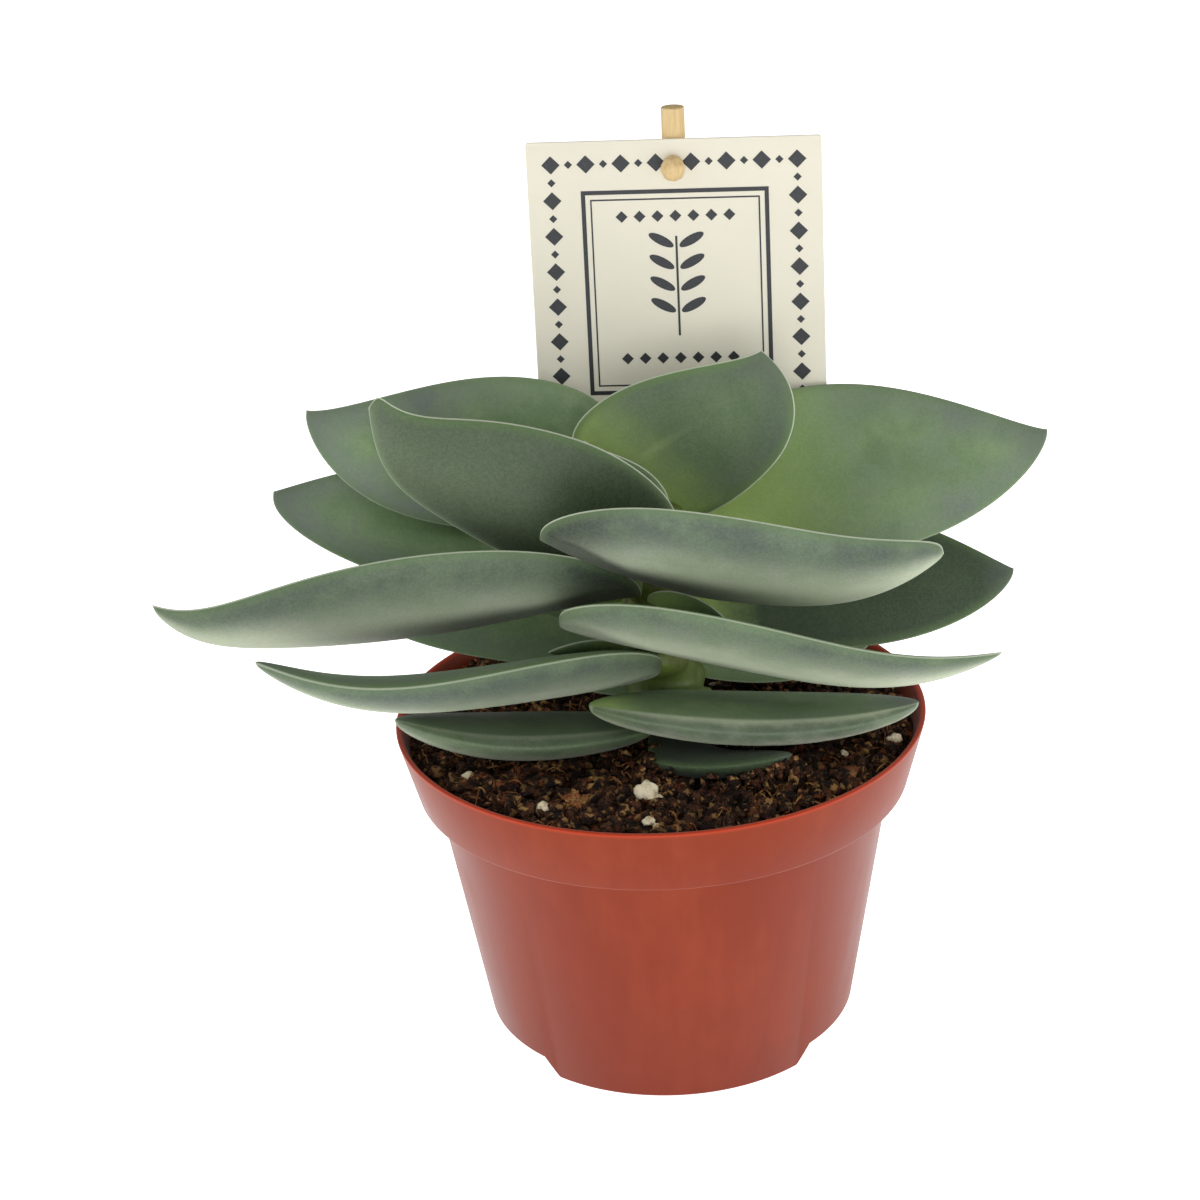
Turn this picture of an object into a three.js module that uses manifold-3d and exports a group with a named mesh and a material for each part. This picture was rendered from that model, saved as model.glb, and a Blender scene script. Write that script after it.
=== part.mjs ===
// A potted crassula with sickle-shaped leaves, in a round plastic nursery pot, with a card label pegged
// to a wooden stick. Millimetres, +Z up, the front to -Y, the origin on the ground below the middle of
// the whole plant.
import * as THREE from "three";
import { mergeVertices } from "three/addons/utils/BufferGeometryUtils.js";
import Module from "manifold-3d";

const wasm = await Module();
wasm.setup();

// Clearance between pieces that rest against each other, and how far a cutter runs past what it cuts.
const GAP = 0.3;
const PAST = 1;

// The leaves reach further left than right, so the pot stands this far right of the plant's middle.
const POT_X = 9;

// Pot: a tapered wall under a wider collar, a floor, and a foot skirt that two wide notches part in two.
const RIM_RADIUS = 60;
const POT_HEIGHT = 76.3;
const POT_WALL = 1.3;
const COLLAR_HEIGHT = 15.5;
const COLLAR_FOOT_RADIUS = 55.8;
const COLLAR_STEP = 1.2;
const WALL_TOP_RADIUS = 51.6;
const FOOT_RADIUS = 41.5;
const SKIRT_HEIGHT = 4.6;
const FLOOR_THICKNESS = 1.6;
const NOTCH_TOP_WIDTH = 59.4;
const NOTCH_FOOT_WIDTH = 64.6;
const POT_TURN = 1.2;
const DRAIN_HOLES = 6;
const DRAIN_HOLE_RADIUS = 3.5;
const DRAIN_CIRCLE_RADIUS = 28;
const RIM_ROUND = 0.5;
const POT_SIDES = 72;
const ROD_SIDES = 16;
const HOLE_SIDES = 12;

// Soil: its mean level, the depth of its bumps, and the rings and sectors of its top.
const SOIL_TOP = 72.4;
const SOIL_RELIEF = 1.1;
const SOIL_RINGS = 15;
const SOIL_SECTORS = 54;

// Stem.
const STEM_X = 1;
const STEM_Y = 1;
const STEM_FOOT_RADIUS = 8;
const STEM_TOP_RADIUS = 5;
const STEM_CROWN_RADIUS = 3;
const STEM_FOOT = 48;
const STEM_NECK = 78;
const STEM_SHOULDER = 121;
const STEM_TOP = 123;

// Label: a round stick behind the plant, and a card held on it by a peg.
const STICK_X = 8.4;
const STICK_Y = 38;
const STICK_RADIUS = 2.6;
const STICK_TOP = 204.9;
const STICK_FOOT = 28;
const CARD_WIDTH = 65.5;
const CARD_HEIGHT = 67;
const CARD_THICKNESS = 0.8;
const CARD_TOP = 198.4;
const LABEL_TURN = 4.5;
const LABEL_LEAN = 3;
const PEG_Z = 192.3;
const PEG_HEAD_RADIUS = 2.7;
const PEG_HEAD_LENGTH = 5;
const PEG_TENON_RADIUS = 1.2;
const PEG_TENON_DEPTH = 3;

// Stations along a leaf, from pole to pole, and points round its section.
const LEAF_STATIONS = 14;
const LEAF_SIDES = 12;

// A leaf's section is a lens: how sharply its faces fall to the edges, and the outer face's share of it.
const BULGE_POWER = 1.3;
const OUTER_SHARE = 0.68;

// Each leaf's base swells towards the stem until it meets it, by up to this much, over about this length.
const HEEL_MOST = 16;
const HEEL_SPREAD = 7;

// Each leaf. root and tip are the ends of its chord. Its blade leans out from the stem by lean, in
// degrees, and by twist more at the tip than at the root. rise and drop are how far the upper and the
// lower edge stand off the spine, as [most, where along the leaf, bluntness towards the root, and
// towards the tip]: bluntness 2 is a half ellipse, 1 a point, and less a drawn-out point. bow bends the
// spine up in the blade's plane and arch bends it outwards, each as [most, where along the leaf]. A twist,
// bow or arch that isn't given is nothing, and back marks a leaf on the stem's far side.
const LEAVES = {
  leaf_front_left_4: { root: [5, -6.4, 126.2], tip: [-59, -12, 156], lean: 12, thick: 6,
    rise: [10, 0.4, 1.4, 3.5], drop: [24.5, 0.25, 1.2, 1.05], bow: [-5.5, 0.85] },
  leaf_front_left_3: { root: [-3, -8, 108], tip: [-108, -22, 117], lean: 33, thick: 7,
    rise: [18.5, 0.33, 1.8, 0.65], drop: [16, 0.63, 0.62, 1.7], bow: [-4.5, 0.88] },
  leaf_front_left_2: { root: [0, -10, 91], tip: [-86, -30, 106], lean: 62, twist: 26, thick: 9.5,
    rise: [16.5, 0.25, 2.6, 0.9], drop: [15, 0.55, 1, 1.4], arch: [5, 0.7] },
  leaf_front_left_1: { root: [-1, -13, 78.5], tip: [-58, -22, 87], lean: 80, thick: 8.5,
    rise: [14, 0.5, 1.6, 1.4], drop: [14, 0.5, 1.5, 1.4], arch: [2, 0.6] },
  leaf_front_right_4: { root: [-24, -21.6, 128.2], tip: [61, -30, 124.5], lean: 36, thick: 7,
    rise: [15.5, 0.35, 2.2, 2.5], drop: [19.5, 0.45, 0.95, 1.3], bow: [-7, 0.75] },
  leaf_front_right_3: { root: [-21, -18, 106.7], tip: [73.5, -30, 101], lean: 49, thick: 7,
    rise: [19.5, 0.25, 2.6, 0.9], drop: [14.5, 0.5, 1.2, 1.3], arch: [5, 0.72] },
  leaf_front_right_2: { root: [-15.5, -22, 88.5], tip: [57, -16, 83], lean: 81, thick: 9,
    rise: [16, 0.5, 1.6, 1.5], drop: [15, 0.45, 1.6, 1.5], arch: [2, 0.55] },
  leaf_front_right_1: { root: [-3, -24, 76.5], tip: [28, -34, 80.5], lean: 74, thick: 5.5,
    rise: [9, 0.45, 1.7, 1.5], drop: [9, 0.45, 1.6, 1.5], arch: [1, 0.5] },
  leaf_back_left_4: { back: true, root: [-2, 13.5, 111.5], tip: [-76, 19, 144.8], lean: 25, thick: 6,
    rise: [26.5, 0.33, 1.5, 0.7], drop: [14, 0.68, 0.5, 1.5] },
  leaf_back_left_3: { back: true, root: [-1, 9, 100], tip: [-85, 18, 126], lean: 42, thick: 6,
    rise: [22, 0.35, 1.5, 0.95], drop: [12, 0.6, 1, 2] },
  leaf_back_left_2: { back: true, root: [-3, 10, 84], tip: [-62, 18, 91], lean: 58, thick: 6,
    rise: [21, 0.35, 1.8, 1.2], drop: [5, 0.5, 1.4, 1.4] },
  leaf_back_left_1: { back: true, root: [4, 11.5, 77], tip: [-36, 34, 82], lean: 70, thick: 5.5,
    rise: [10, 0.45, 1.6, 1.4], drop: [10, 0.45, 1.6, 1.4] },
  leaf_back_right_4: { back: true, root: [-9, 7.6, 119.7], tip: [25.5, 13, 156.4], lean: 15, thick: 6,
    rise: [20, 0.25, 1.7, 0.7], drop: [19, 0.65, 1.6, 2.5] },
  leaf_back_right_3: { back: true, root: [8.5, 11.3, 113.8], tip: [90, 24, 130.6], lean: 28, thick: 6,
    rise: [25.2, 0.33, 1.5, 0.8], drop: [16, 0.55, 1.3, 1.5] },
  leaf_back_right_2: { back: true, root: [7, 9, 95], tip: [82.5, 22, 97.5], lean: 45, thick: 6,
    rise: [22, 0.4, 1.5, 0.9], drop: [13.5, 0.55, 1.3, 1.55] },
  leaf_back_right_1: { back: true, root: [4, 10.5, 83.5], tip: [52, 24, 84], lean: 66, thick: 6,
    rise: [12, 0.4, 1.5, 1.3], drop: [12, 0.5, 1.4, 1.4] },
  young_leaf: { root: [1.5, -1, 123.3], tip: [-14, -5, 144], lean: 8, thick: 2.5,
    rise: [5.7, 0.3, 3.5, 0.6], drop: [5, 0.4, 1.5, 1] },
  shoot_leaf_1: { root: [-2, -7, 106.5], tip: [15, -12, 103.5], lean: 30, thick: 2.4,
    rise: [6, 0.45, 1.8, 1.2], drop: [4, 0.45, 1.5, 1] },
  shoot_leaf_2: { root: [-3.5, -6, 94.5], tip: [-24, -14, 98], lean: 40, thick: 2.4,
    rise: [5, 0.55, 1.3, 1.3], drop: [4, 0.45, 1.5, 1] },
  shoot_leaf_3: { root: [-5, -3, 99], tip: [-26, -6, 105], lean: 50, thick: 2,
    rise: [4, 0.45, 1.5, 1], drop: [5, 0.45, 1.5, 1] },
};

const up = new THREE.Vector3(0, 0, 1);

// How far an edge stands off the spine at a share of the leaf's length.
function edgeOffset([most, at, rootBlunt, tipBlunt], share) {
  const towardsRoot = share < at;
  const u = towardsRoot ? (at - share) / at : (share - at) / (1 - at);
  return most * Math.pow(Math.max(0, 1 - u * u), 1 / (towardsRoot ? rootBlunt : tipBlunt));
}

// A bend of the spine at a share of the leaf's length, nothing at both ends.
function bend([most, at] = [0, 0.5], share) {
  return most * Math.sin(Math.PI * Math.pow(share, Math.log(0.5) / Math.log(at)));
}

// The leaf's section at a share of its length: its centre, its half width and thickness, the way up
// across the blade, and the way out of its outer face.
function section(leaf, share) {
  const centre = new THREE.Vector3(...leaf.root);
  const chord = new THREE.Vector3(...leaf.tip).sub(centre);
  const along = chord.clone().normalize();
  const upright = up.clone().addScaledVector(along, -up.dot(along)).normalize();
  const away = new THREE.Vector3().crossVectors(along, upright);
  if (away.y > 0 !== Boolean(leaf.back)) away.negate();
  const lean = THREE.MathUtils.degToRad(leaf.lean + (leaf.twist ?? 0) * (share - 0.5));
  const across = upright.clone().multiplyScalar(Math.cos(lean)).addScaledVector(away, Math.sin(lean));
  const outward = away.clone().multiplyScalar(Math.cos(lean)).addScaledVector(upright, -Math.sin(lean));
  const rise = edgeOffset(leaf.rise, share);
  const drop = edgeOffset(leaf.drop, share);
  centre.addScaledVector(chord, share)
    .addScaledVector(across, bend(leaf.bow, share) + (rise - drop) / 2)
    .addScaledVector(outward, bend(leaf.arch, share));
  const thick = leaf.thick * Math.pow((rise + drop) / (leaf.rise[0] + leaf.drop[0]), 0.7);
  return { centre, halfWidth: (rise + drop) / 2, thick, across, outward, lean };
}

// Where along the leaf and how high it passes the stem, and the level way from there to the stem's axis.
function stemSide(leaf) {
  const root = new THREE.Vector3(...leaf.root).setZ(0);
  const chord = new THREE.Vector3(...leaf.tip).setZ(0).sub(root);
  const stem = new THREE.Vector3(STEM_X, STEM_Y, 0);
  const length = chord.length();
  const passes = stem.clone().sub(root).dot(chord) / length ** 2;
  const share = Math.max(passes, HEEL_SPREAD / length / 2);
  const { centre, halfWidth, across, lean } = section(leaf, share);
  centre.addScaledVector(across, -halfWidth * Math.sin(lean));
  const height = Math.min(centre.z, STEM_SHOULDER - HEEL_SPREAD / 2);
  return { share, length, height, towards: stem.sub(centre.setZ(0)).normalize() };
}

// A point of the leaf's skin. At its base, the side that faces the stem is pulled towards it by heel.
function skinPoint(leaf, share, angle, heel, base) {
  const { centre, halfWidth, thick, across, outward } = section(leaf, share);
  const bulge = Math.pow(Math.abs(Math.sin(angle)), BULGE_POWER) * thick;
  const depth = Math.sin(angle) >= 0 ? OUTER_SHARE * bulge : (OUTER_SHARE - 1) * bulge;
  const facing = Math.cos(angle) * across.dot(base.towards) + Math.sin(angle) * outward.dot(base.towards);
  const point = centre.addScaledVector(across, halfWidth * Math.cos(angle)).addScaledVector(outward, depth);
  const distance = Math.hypot((share - base.share) * base.length, point.z - base.height);
  const pull = heel * Math.exp(-((distance / HEEL_SPREAD) ** 2)) * Math.max(0, facing);
  return point.addScaledVector(base.towards, pull);
}

function stemRadius(height) {
  const share = THREE.MathUtils.clamp((height - STEM_NECK) / (STEM_SHOULDER - STEM_NECK), 0, 1);
  return THREE.MathUtils.lerp(STEM_FOOT_RADIUS, STEM_TOP_RADIUS, share);
}

// The leaf's skin between its two ends, as rings of points.
function leafRings(leaf, heel) {
  const base = stemSide(leaf);
  const rings = [];
  for (let i = 1; i < LEAF_STATIONS; i++) {
    const share = (1 - Math.cos((Math.PI * i) / LEAF_STATIONS)) / 2;
    rings.push([]);
    for (let j = 0; j < LEAF_SIDES; j++) {
      rings[i - 1].push(skinPoint(leaf, share, (2 * Math.PI * j) / LEAF_SIDES, heel, base));
    }
  }
  return rings;
}

// The least distance between the leaf's skin and the stem's side, below the stem's shoulder.
function stemClearance(rings) {
  let least = Infinity;
  for (let i = 1; i < rings.length; i++) {
    for (let j = 0; j < LEAF_SIDES; j++) {
      for (const step of [0, 0.25, 0.5, 0.75]) {
        const { x, y, z } = rings[i - 1][j].clone().lerp(rings[i][j], step);
        const clearance = Math.hypot(x - STEM_X, y - STEM_Y) - stemRadius(z);
        if (z < STEM_SHOULDER) least = Math.min(least, clearance);
      }
    }
  }
  return least;
}

// The leaf's skin, its base swollen just enough to meet the stem's side, which is found by halving.
function seatedRings(leaf) {
  let [low, high] = [0, HEEL_MOST];
  if (stemClearance(leafRings(leaf, high)) > GAP) return leafRings(leaf, 0);
  while (high - low > 0.02) {
    const middle = (low + high) / 2;
    if (stemClearance(leafRings(leaf, middle)) > GAP) low = middle;
    else high = middle;
  }
  return leafRings(leaf, low);
}

// A thick blade: a pole at each end and rings of points between them, as one closed geometry.
function leafGeometry(leaf) {
  const [root, tip] = [new THREE.Vector3(...leaf.root), new THREE.Vector3(...leaf.tip)];
  const points = [root, ...seatedRings(leaf).flat(), tip];
  const last = points.length - 1;
  const at = (i, j) => 1 + (i - 1) * LEAF_SIDES + (j % LEAF_SIDES);
  const faces = [];
  for (let j = 0; j < LEAF_SIDES; j++) {
    faces.push(0, at(1, j + 1), at(1, j), last, at(LEAF_STATIONS - 1, j), at(LEAF_STATIONS - 1, j + 1));
    for (let i = 1; i < LEAF_STATIONS - 1; i++) {
      faces.push(at(i, j), at(i, j + 1), at(i + 1, j), at(i, j + 1), at(i + 1, j + 1), at(i + 1, j));
    }
  }
  const geometry = new THREE.BufferGeometry().setFromPoints(points);
  geometry.setIndex(faces);
  return geometry;
}

// A closed geometry as a solid, turned to face out whichever way its faces were listed.
function toSolid(geometry) {
  const bare = new THREE.BufferGeometry();
  bare.setAttribute("position", geometry.getAttribute("position").clone());
  if (geometry.index) bare.setIndex(geometry.index);
  const merged = mergeVertices(bare, 1e-4);
  const triVerts = new Uint32Array(merged.index.array);
  const vertProperties = merged.attributes.position.array;
  const solid = new wasm.Manifold(new wasm.Mesh({ numProp: 3, vertProperties, triVerts }));
  if (solid.volume() > 0) return solid;
  return new wasm.Manifold(new wasm.Mesh({ numProp: 3, vertProperties, triVerts: triVerts.reverse() }));
}

function toGeometry(solid) {
  const mesh = solid.getMesh();
  const geometry = new THREE.BufferGeometry();
  geometry.setAttribute("position", new THREE.BufferAttribute(new Float32Array(mesh.vertProperties), 3));
  geometry.setIndex(new THREE.BufferAttribute(mesh.triVerts, 1));
  return geometry;
}

// A solid turned about the Z axis, from [radius, height] corners.
function turned(corners, sides) {
  const profile = corners.map(([radius, height]) => new THREE.Vector2(radius, height));
  return toSolid(new THREE.LatheGeometry(profile, sides).rotateX(Math.PI / 2));
}

// An upright cylinder between two heights.
function rodGeometry(radius, bottom, top, sides = ROD_SIDES) {
  const geometry = new THREE.CylinderGeometry(radius, radius, top - bottom, sides).rotateX(Math.PI / 2);
  return geometry.translate(0, 0, (top + bottom) / 2);
}

function rod(radius, bottom, top, x = 0, y = 0, sides = ROD_SIDES) {
  return toSolid(rodGeometry(radius, bottom, top, sides).translate(x, y, 0));
}

const COLLAR_FOOT = POT_HEIGHT - COLLAR_HEIGHT;
const FLOOR_TOP = SKIRT_HEIGHT + FLOOR_THICKNESS;

// The pot's inner side, from the floor up to the collar's foot, moved in by a clearance.
function innerCorners(clearance) {
  const inset = POT_WALL + clearance;
  const floorRadius = THREE.MathUtils.lerp(FOOT_RADIUS, WALL_TOP_RADIUS, FLOOR_TOP / COLLAR_FOOT);
  return [
    [floorRadius - inset, FLOOR_TOP + clearance],
    [WALL_TOP_RADIUS - inset, COLLAR_FOOT],
    [COLLAR_FOOT_RADIUS - inset, COLLAR_FOOT + COLLAR_STEP],
  ];
}

function pot() {
  const skirtInner = FOOT_RADIUS - POT_WALL;
  const body = turned([
    [0, SKIRT_HEIGHT],
    [skirtInner, SKIRT_HEIGHT],
    [skirtInner, 0],
    [FOOT_RADIUS, 0],
    [WALL_TOP_RADIUS, COLLAR_FOOT - COLLAR_STEP],
    [COLLAR_FOOT_RADIUS, COLLAR_FOOT],
    [RIM_RADIUS, POT_HEIGHT - RIM_ROUND],
    [RIM_RADIUS - RIM_ROUND, POT_HEIGHT],
    [RIM_RADIUS - POT_WALL, POT_HEIGHT],
    ...innerCorners(0).reverse(),
    [0, FLOOR_TOP],
  ], POT_SIDES);
  const notch = new THREE.Shape([
    new THREE.Vector2(-NOTCH_FOOT_WIDTH / 2, -PAST),
    new THREE.Vector2(NOTCH_FOOT_WIDTH / 2, -PAST),
    new THREE.Vector2(NOTCH_TOP_WIDTH / 2, SKIRT_HEIGHT),
    new THREE.Vector2(-NOTCH_TOP_WIDTH / 2, SKIRT_HEIGHT),
  ]);
  const cutter = new THREE.ExtrudeGeometry(notch, { depth: WALL_TOP_RADIUS, bevelEnabled: false });
  cutter.rotateX(Math.PI / 2).rotateZ(Math.PI / 2);
  let cut = body;
  for (const side of [0, Math.PI]) cut = cut.subtract(toSolid(cutter.clone().rotateZ(side)));
  for (let i = 0; i < DRAIN_HOLES; i++) {
    const angle = (2 * Math.PI * i) / DRAIN_HOLES;
    const [x, y] = [DRAIN_CIRCLE_RADIUS * Math.cos(angle), DRAIN_CIRCLE_RADIUS * Math.sin(angle)];
    cut = cut.subtract(rod(DRAIN_HOLE_RADIUS, SKIRT_HEIGHT - PAST, FLOOR_TOP + PAST, x, y, HOLE_SIDES));
  }
  return toGeometry(cut).rotateZ(THREE.MathUtils.degToRad(POT_TURN));
}

// The label's stick leans back and its card is turned a little, about the peg.
const label = new THREE.Group();
label.position.set(STICK_X, STICK_Y, PEG_Z);
label.rotation.set(-THREE.MathUtils.degToRad(LABEL_LEAN), 0, -THREE.MathUtils.degToRad(LABEL_TURN));
label.updateMatrixWorld();
const labelPlace = label.matrixWorld;

// The soil's height at a place, rough in waves of several lengths.
function soilHeight(x, y) {
  const coarse = Math.sin(0.16 * x + 1.3) * Math.cos(0.19 * y - 0.4);
  const middle = Math.sin(0.47 * x - 0.31 * y) * Math.cos(0.39 * y + 0.22 * x + 2);
  const fine = Math.sin(1.13 * x + 0.7 * y + 1) * Math.sin(0.97 * y - 0.8 * x);
  return SOIL_TOP + SOIL_RELIEF * (0.35 * coarse + 0.4 * middle + 0.25 * fine);
}

function soil() {
  const side = innerCorners(GAP);
  const collarInner = COLLAR_FOOT_RADIUS - POT_WALL - GAP;
  const slope = (RIM_RADIUS - COLLAR_FOOT_RADIUS) / (COLLAR_HEIGHT - COLLAR_STEP);
  const edgeRadius = collarInner + slope * (SOIL_TOP - SOIL_RELIEF - COLLAR_FOOT - COLLAR_STEP);
  const points = [new THREE.Vector3(0, 0, soilHeight(0, 0))];
  const ring = (radius, height) => {
    for (let j = 0; j < SOIL_SECTORS; j++) {
      const angle = (2 * Math.PI * j) / SOIL_SECTORS;
      const [x, y] = [radius * Math.cos(angle), radius * Math.sin(angle)];
      points.push(new THREE.Vector3(x, y, height ?? soilHeight(x, y)));
    }
  };
  for (let i = 1; i <= SOIL_RINGS; i++) ring((edgeRadius * i) / SOIL_RINGS);
  for (const [radius, height] of side.reverse()) ring(radius, height);
  const rings = SOIL_RINGS + side.length;
  const last = points.push(new THREE.Vector3(0, 0, side[side.length - 1][1])) - 1;
  const at = (i, j) => 1 + (i - 1) * SOIL_SECTORS + (j % SOIL_SECTORS);
  const faces = [];
  for (let j = 0; j < SOIL_SECTORS; j++) {
    faces.push(0, at(1, j), at(1, j + 1), last, at(rings, j + 1), at(rings, j));
    for (let i = 1; i < rings; i++) {
      faces.push(at(i, j), at(i + 1, j), at(i + 1, j + 1), at(i, j), at(i + 1, j + 1), at(i, j + 1));
    }
  }
  const geometry = new THREE.BufferGeometry().setFromPoints(points);
  geometry.setIndex(faces);
  const stemHole = rod(STEM_FOOT_RADIUS + GAP, STEM_FOOT - GAP, POT_HEIGHT, STEM_X, STEM_Y);
  const stickRoom = rodGeometry(STICK_RADIUS + GAP, STICK_FOOT - PEG_Z - GAP, 0);
  const stickHole = toSolid(stickRoom.applyMatrix4(labelPlace));
  return toGeometry(toSolid(geometry).subtract(stemHole).subtract(stickHole));
}

function stem() {
  return toGeometry(turned([
    [0, STEM_FOOT],
    [STEM_FOOT_RADIUS, STEM_FOOT],
    [STEM_FOOT_RADIUS, STEM_NECK],
    [STEM_TOP_RADIUS, STEM_SHOULDER],
    [STEM_CROWN_RADIUS, STEM_TOP],
    [0, STEM_TOP],
  ], ROD_SIDES)).translate(STEM_X, STEM_Y, 0);
}

// The label's pieces are made round the peg's axis, which runs along Y through the card.
function tenon(radius, front, back) {
  const geometry = new THREE.CylinderGeometry(radius, radius, back - front, HOLE_SIDES);
  return toSolid(geometry.translate(0, (front + back) / 2, 0));
}

const cardBack = -STICK_RADIUS - GAP;
const cardFront = cardBack - CARD_THICKNESS;

function card() {
  const middle = CARD_TOP - CARD_HEIGHT / 2 - PEG_Z;
  const sheet = new THREE.BoxGeometry(CARD_WIDTH, CARD_THICKNESS, CARD_HEIGHT);
  sheet.translate(0, (cardFront + cardBack) / 2, middle);
  const hole = tenon(PEG_TENON_RADIUS + GAP, cardFront - PAST, cardBack + PAST);
  return toGeometry(toSolid(sheet).subtract(hole));
}

function peg() {
  const headBack = cardFront - GAP;
  const head = tenon(PEG_HEAD_RADIUS, headBack - PEG_HEAD_LENGTH, headBack);
  return toGeometry(head.add(tenon(PEG_TENON_RADIUS, headBack - PAST, PEG_TENON_DEPTH - STICK_RADIUS)));
}

function stick() {
  const bore = tenon(PEG_TENON_RADIUS + GAP, -STICK_RADIUS - PAST, PEG_TENON_DEPTH - STICK_RADIUS + GAP);
  const shaft = rod(STICK_RADIUS, STICK_FOOT - PEG_Z, STICK_TOP - PEG_Z);
  return toGeometry(shaft.subtract(bore));
}

const plant = new THREE.Group();
const standing = new THREE.Group();
standing.position.x = POT_X;
plant.add(standing);

function add(name, geometry, color, roughness, parent = standing) {
  const mesh = new THREE.Mesh(geometry, new THREE.MeshStandardMaterial({ color, roughness, metalness: 0 }));
  mesh.name = name;
  parent.add(mesh);
}

add("pot", pot(), 0xa5533c, 0.4);
add("soil", soil(), 0x3a2a20, 0.95);
add("stem", stem(), 0x9aa65a, 0.6);
for (const [name, leaf] of Object.entries(LEAVES)) {
  add(name, toGeometry(toSolid(leafGeometry(leaf))), leaf.back ? 0x56744f : 0x7f8f80, 0.6);
}

standing.add(label);
add("label_stick", stick(), 0xc9a56c, 0.7, label);
add("label_peg", peg(), 0xc9a56c, 0.7, label);
add("label_card", card(), 0xe9e2d0, 0.8, label);

export default plant;
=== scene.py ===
import math
import random

import bmesh
import bpy
import numpy as np
from bpy.props import FloatProperty, FloatVectorProperty, IntProperty, PointerProperty
from mathutils import Matrix, Vector, noise
from mathutils.bvhtree import BVHTree


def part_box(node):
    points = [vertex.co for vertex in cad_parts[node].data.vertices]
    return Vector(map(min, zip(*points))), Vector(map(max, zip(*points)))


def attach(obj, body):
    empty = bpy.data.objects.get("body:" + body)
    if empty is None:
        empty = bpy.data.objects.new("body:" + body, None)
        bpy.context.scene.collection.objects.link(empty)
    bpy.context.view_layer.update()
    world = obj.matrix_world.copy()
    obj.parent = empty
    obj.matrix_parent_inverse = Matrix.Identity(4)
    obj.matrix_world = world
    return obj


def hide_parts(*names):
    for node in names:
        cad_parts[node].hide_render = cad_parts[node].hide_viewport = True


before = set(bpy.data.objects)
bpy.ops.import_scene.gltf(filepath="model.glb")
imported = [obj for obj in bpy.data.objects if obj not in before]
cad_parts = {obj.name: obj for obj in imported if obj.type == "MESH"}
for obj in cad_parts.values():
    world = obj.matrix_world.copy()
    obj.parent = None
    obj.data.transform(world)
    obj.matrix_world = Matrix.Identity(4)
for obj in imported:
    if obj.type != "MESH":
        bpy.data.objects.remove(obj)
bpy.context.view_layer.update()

bl_info = {
    "name": "Potted boomerang crassula",
    "version": (1, 0, 0),
    "blender": (4, 5, 0),
    "location": "View3D > Sidebar > Crassula",
    "description": "Dresses the packed solids of a potted crassula with its fine shapes and finishes",
    "category": "Object",
}

MM = 0.001
LEAF_NODES = sorted(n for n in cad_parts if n.startswith(("leaf_", "young_leaf", "shoot_leaf_")))
# The edges that meet in the point at either end of a leaf's solid.
POLE_SPOKES = 12
LEAF_SHARES = ("bloom", "pale", "deep_inner", "deep_outer", "fresh", "folded", "tucked")
# How much waxy bloom a leaf's outer face wears, how pale its margin is, how much painted shade darkens its
# inner and its outer face, how far the fresh green of its base spreads, how much painted shade darkens the
# outer face at its root, and how far it lies behind others, which paints shade on its lower side and
# spreads the darker, painted-shade bloom downwards from its edge.
LEAF_LOOKS = {
    "leaf_front_left_4": (0.15, 1.0, 0.5, 0.52, 0.1, 0.3, 1.0),
    "leaf_front_left_3": (0.9, 0.7, 0.3, 0.23, 0.2, 0.9, 1.0),
    "leaf_front_left_2": (1.0, 0.45, 0.38, 0.0, 0.3, 0.4, 0.62),
    "leaf_front_left_1": (0.6, 0.05, 0.7, 0.35, 0.4, 0.3, 0.0),
    "leaf_front_right_4": (1.0, 0.8, 0.2, 0.0, 0.2, 0.9, 1.0),
    "leaf_front_right_3": (0.95, 0.55, 0.32, 0.0, 0.3, 0.1, 0.65),
    "leaf_front_right_2": (1.0, 0.05, 0.34, 0.0, 0.45, 0.2, 0.0),
    "leaf_front_right_1": (0.1, 0.0, 1.0, 1.0, 0.0, 0.3, 0.0),
    "leaf_back_left_4": (0.9, 0.15, 0.0, 0.0, 0.6, 0.3, 0.6),
    "leaf_back_left_3": (0.9, 0.1, 0.0, 0.0, 0.7, 0.3, 0.6),
    "leaf_back_left_2": (0.8, 0.1, 0.4, 0.1, 0.6, 0.3, 0.6),
    "leaf_back_right_4": (0.7, 0.9, 0.52, 0.25, 1.5, 0.3, 0.6),
    "leaf_back_right_3": (0.9, 0.1, 0.24, 0.0, 1.5, 0.3, 0.6),
    "leaf_back_right_2": (0.9, 0.1, 0.9, 0.1, 0.6, 0.3, 0.6),
    "young_leaf": (0.0, 1.0, 0.2, 0.2, 0.9, 0.0, 0.0),
    "shoot_leaf_1": (0.0, 1.0, 0.0, 0.0, 3.0, 0.0, 0.0),
    "shoot_leaf_2": (0.0, 0.8, 0.0, 0.0, 2.6, 0.0, 0.0),
    "shoot_leaf_3": (0.0, 0.8, 0.0, 0.0, 2.6, 0.0, 0.0),
}
USUAL_LOOKS = (0.6, 0.4, 0.2, 0.1, 0.5, 0.3, 0.6)
# How sharp a leaf's edge stays when it is smoothed, where it is softer than the others.
SOFT_EDGES = {
    "leaf_front_left_1": 0.15, "leaf_front_right_2": 0.15, "leaf_front_right_1": 0.1, "leaf_front_left_2": 0.5,
}
# The leaves whose outer bloom rolls over the edge on to the upper face.
ROLLED_EDGES = ("leaf_front_left_1", "leaf_front_right_2")
# Half the width and height of a leaf's base round the stem, how much it rises inwards, and how far it
# lies to the right, in millimetres.
CLASPS = {"leaf_front_right_2": (8, 1.8, -5, 2), "leaf_front_right_1": (8, 3, -1, 0)}
USUAL_CLASP, SMALL_CLASP = (7.5, 5, -2, 0), (3.5, 2.2, -1, 0)


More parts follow.
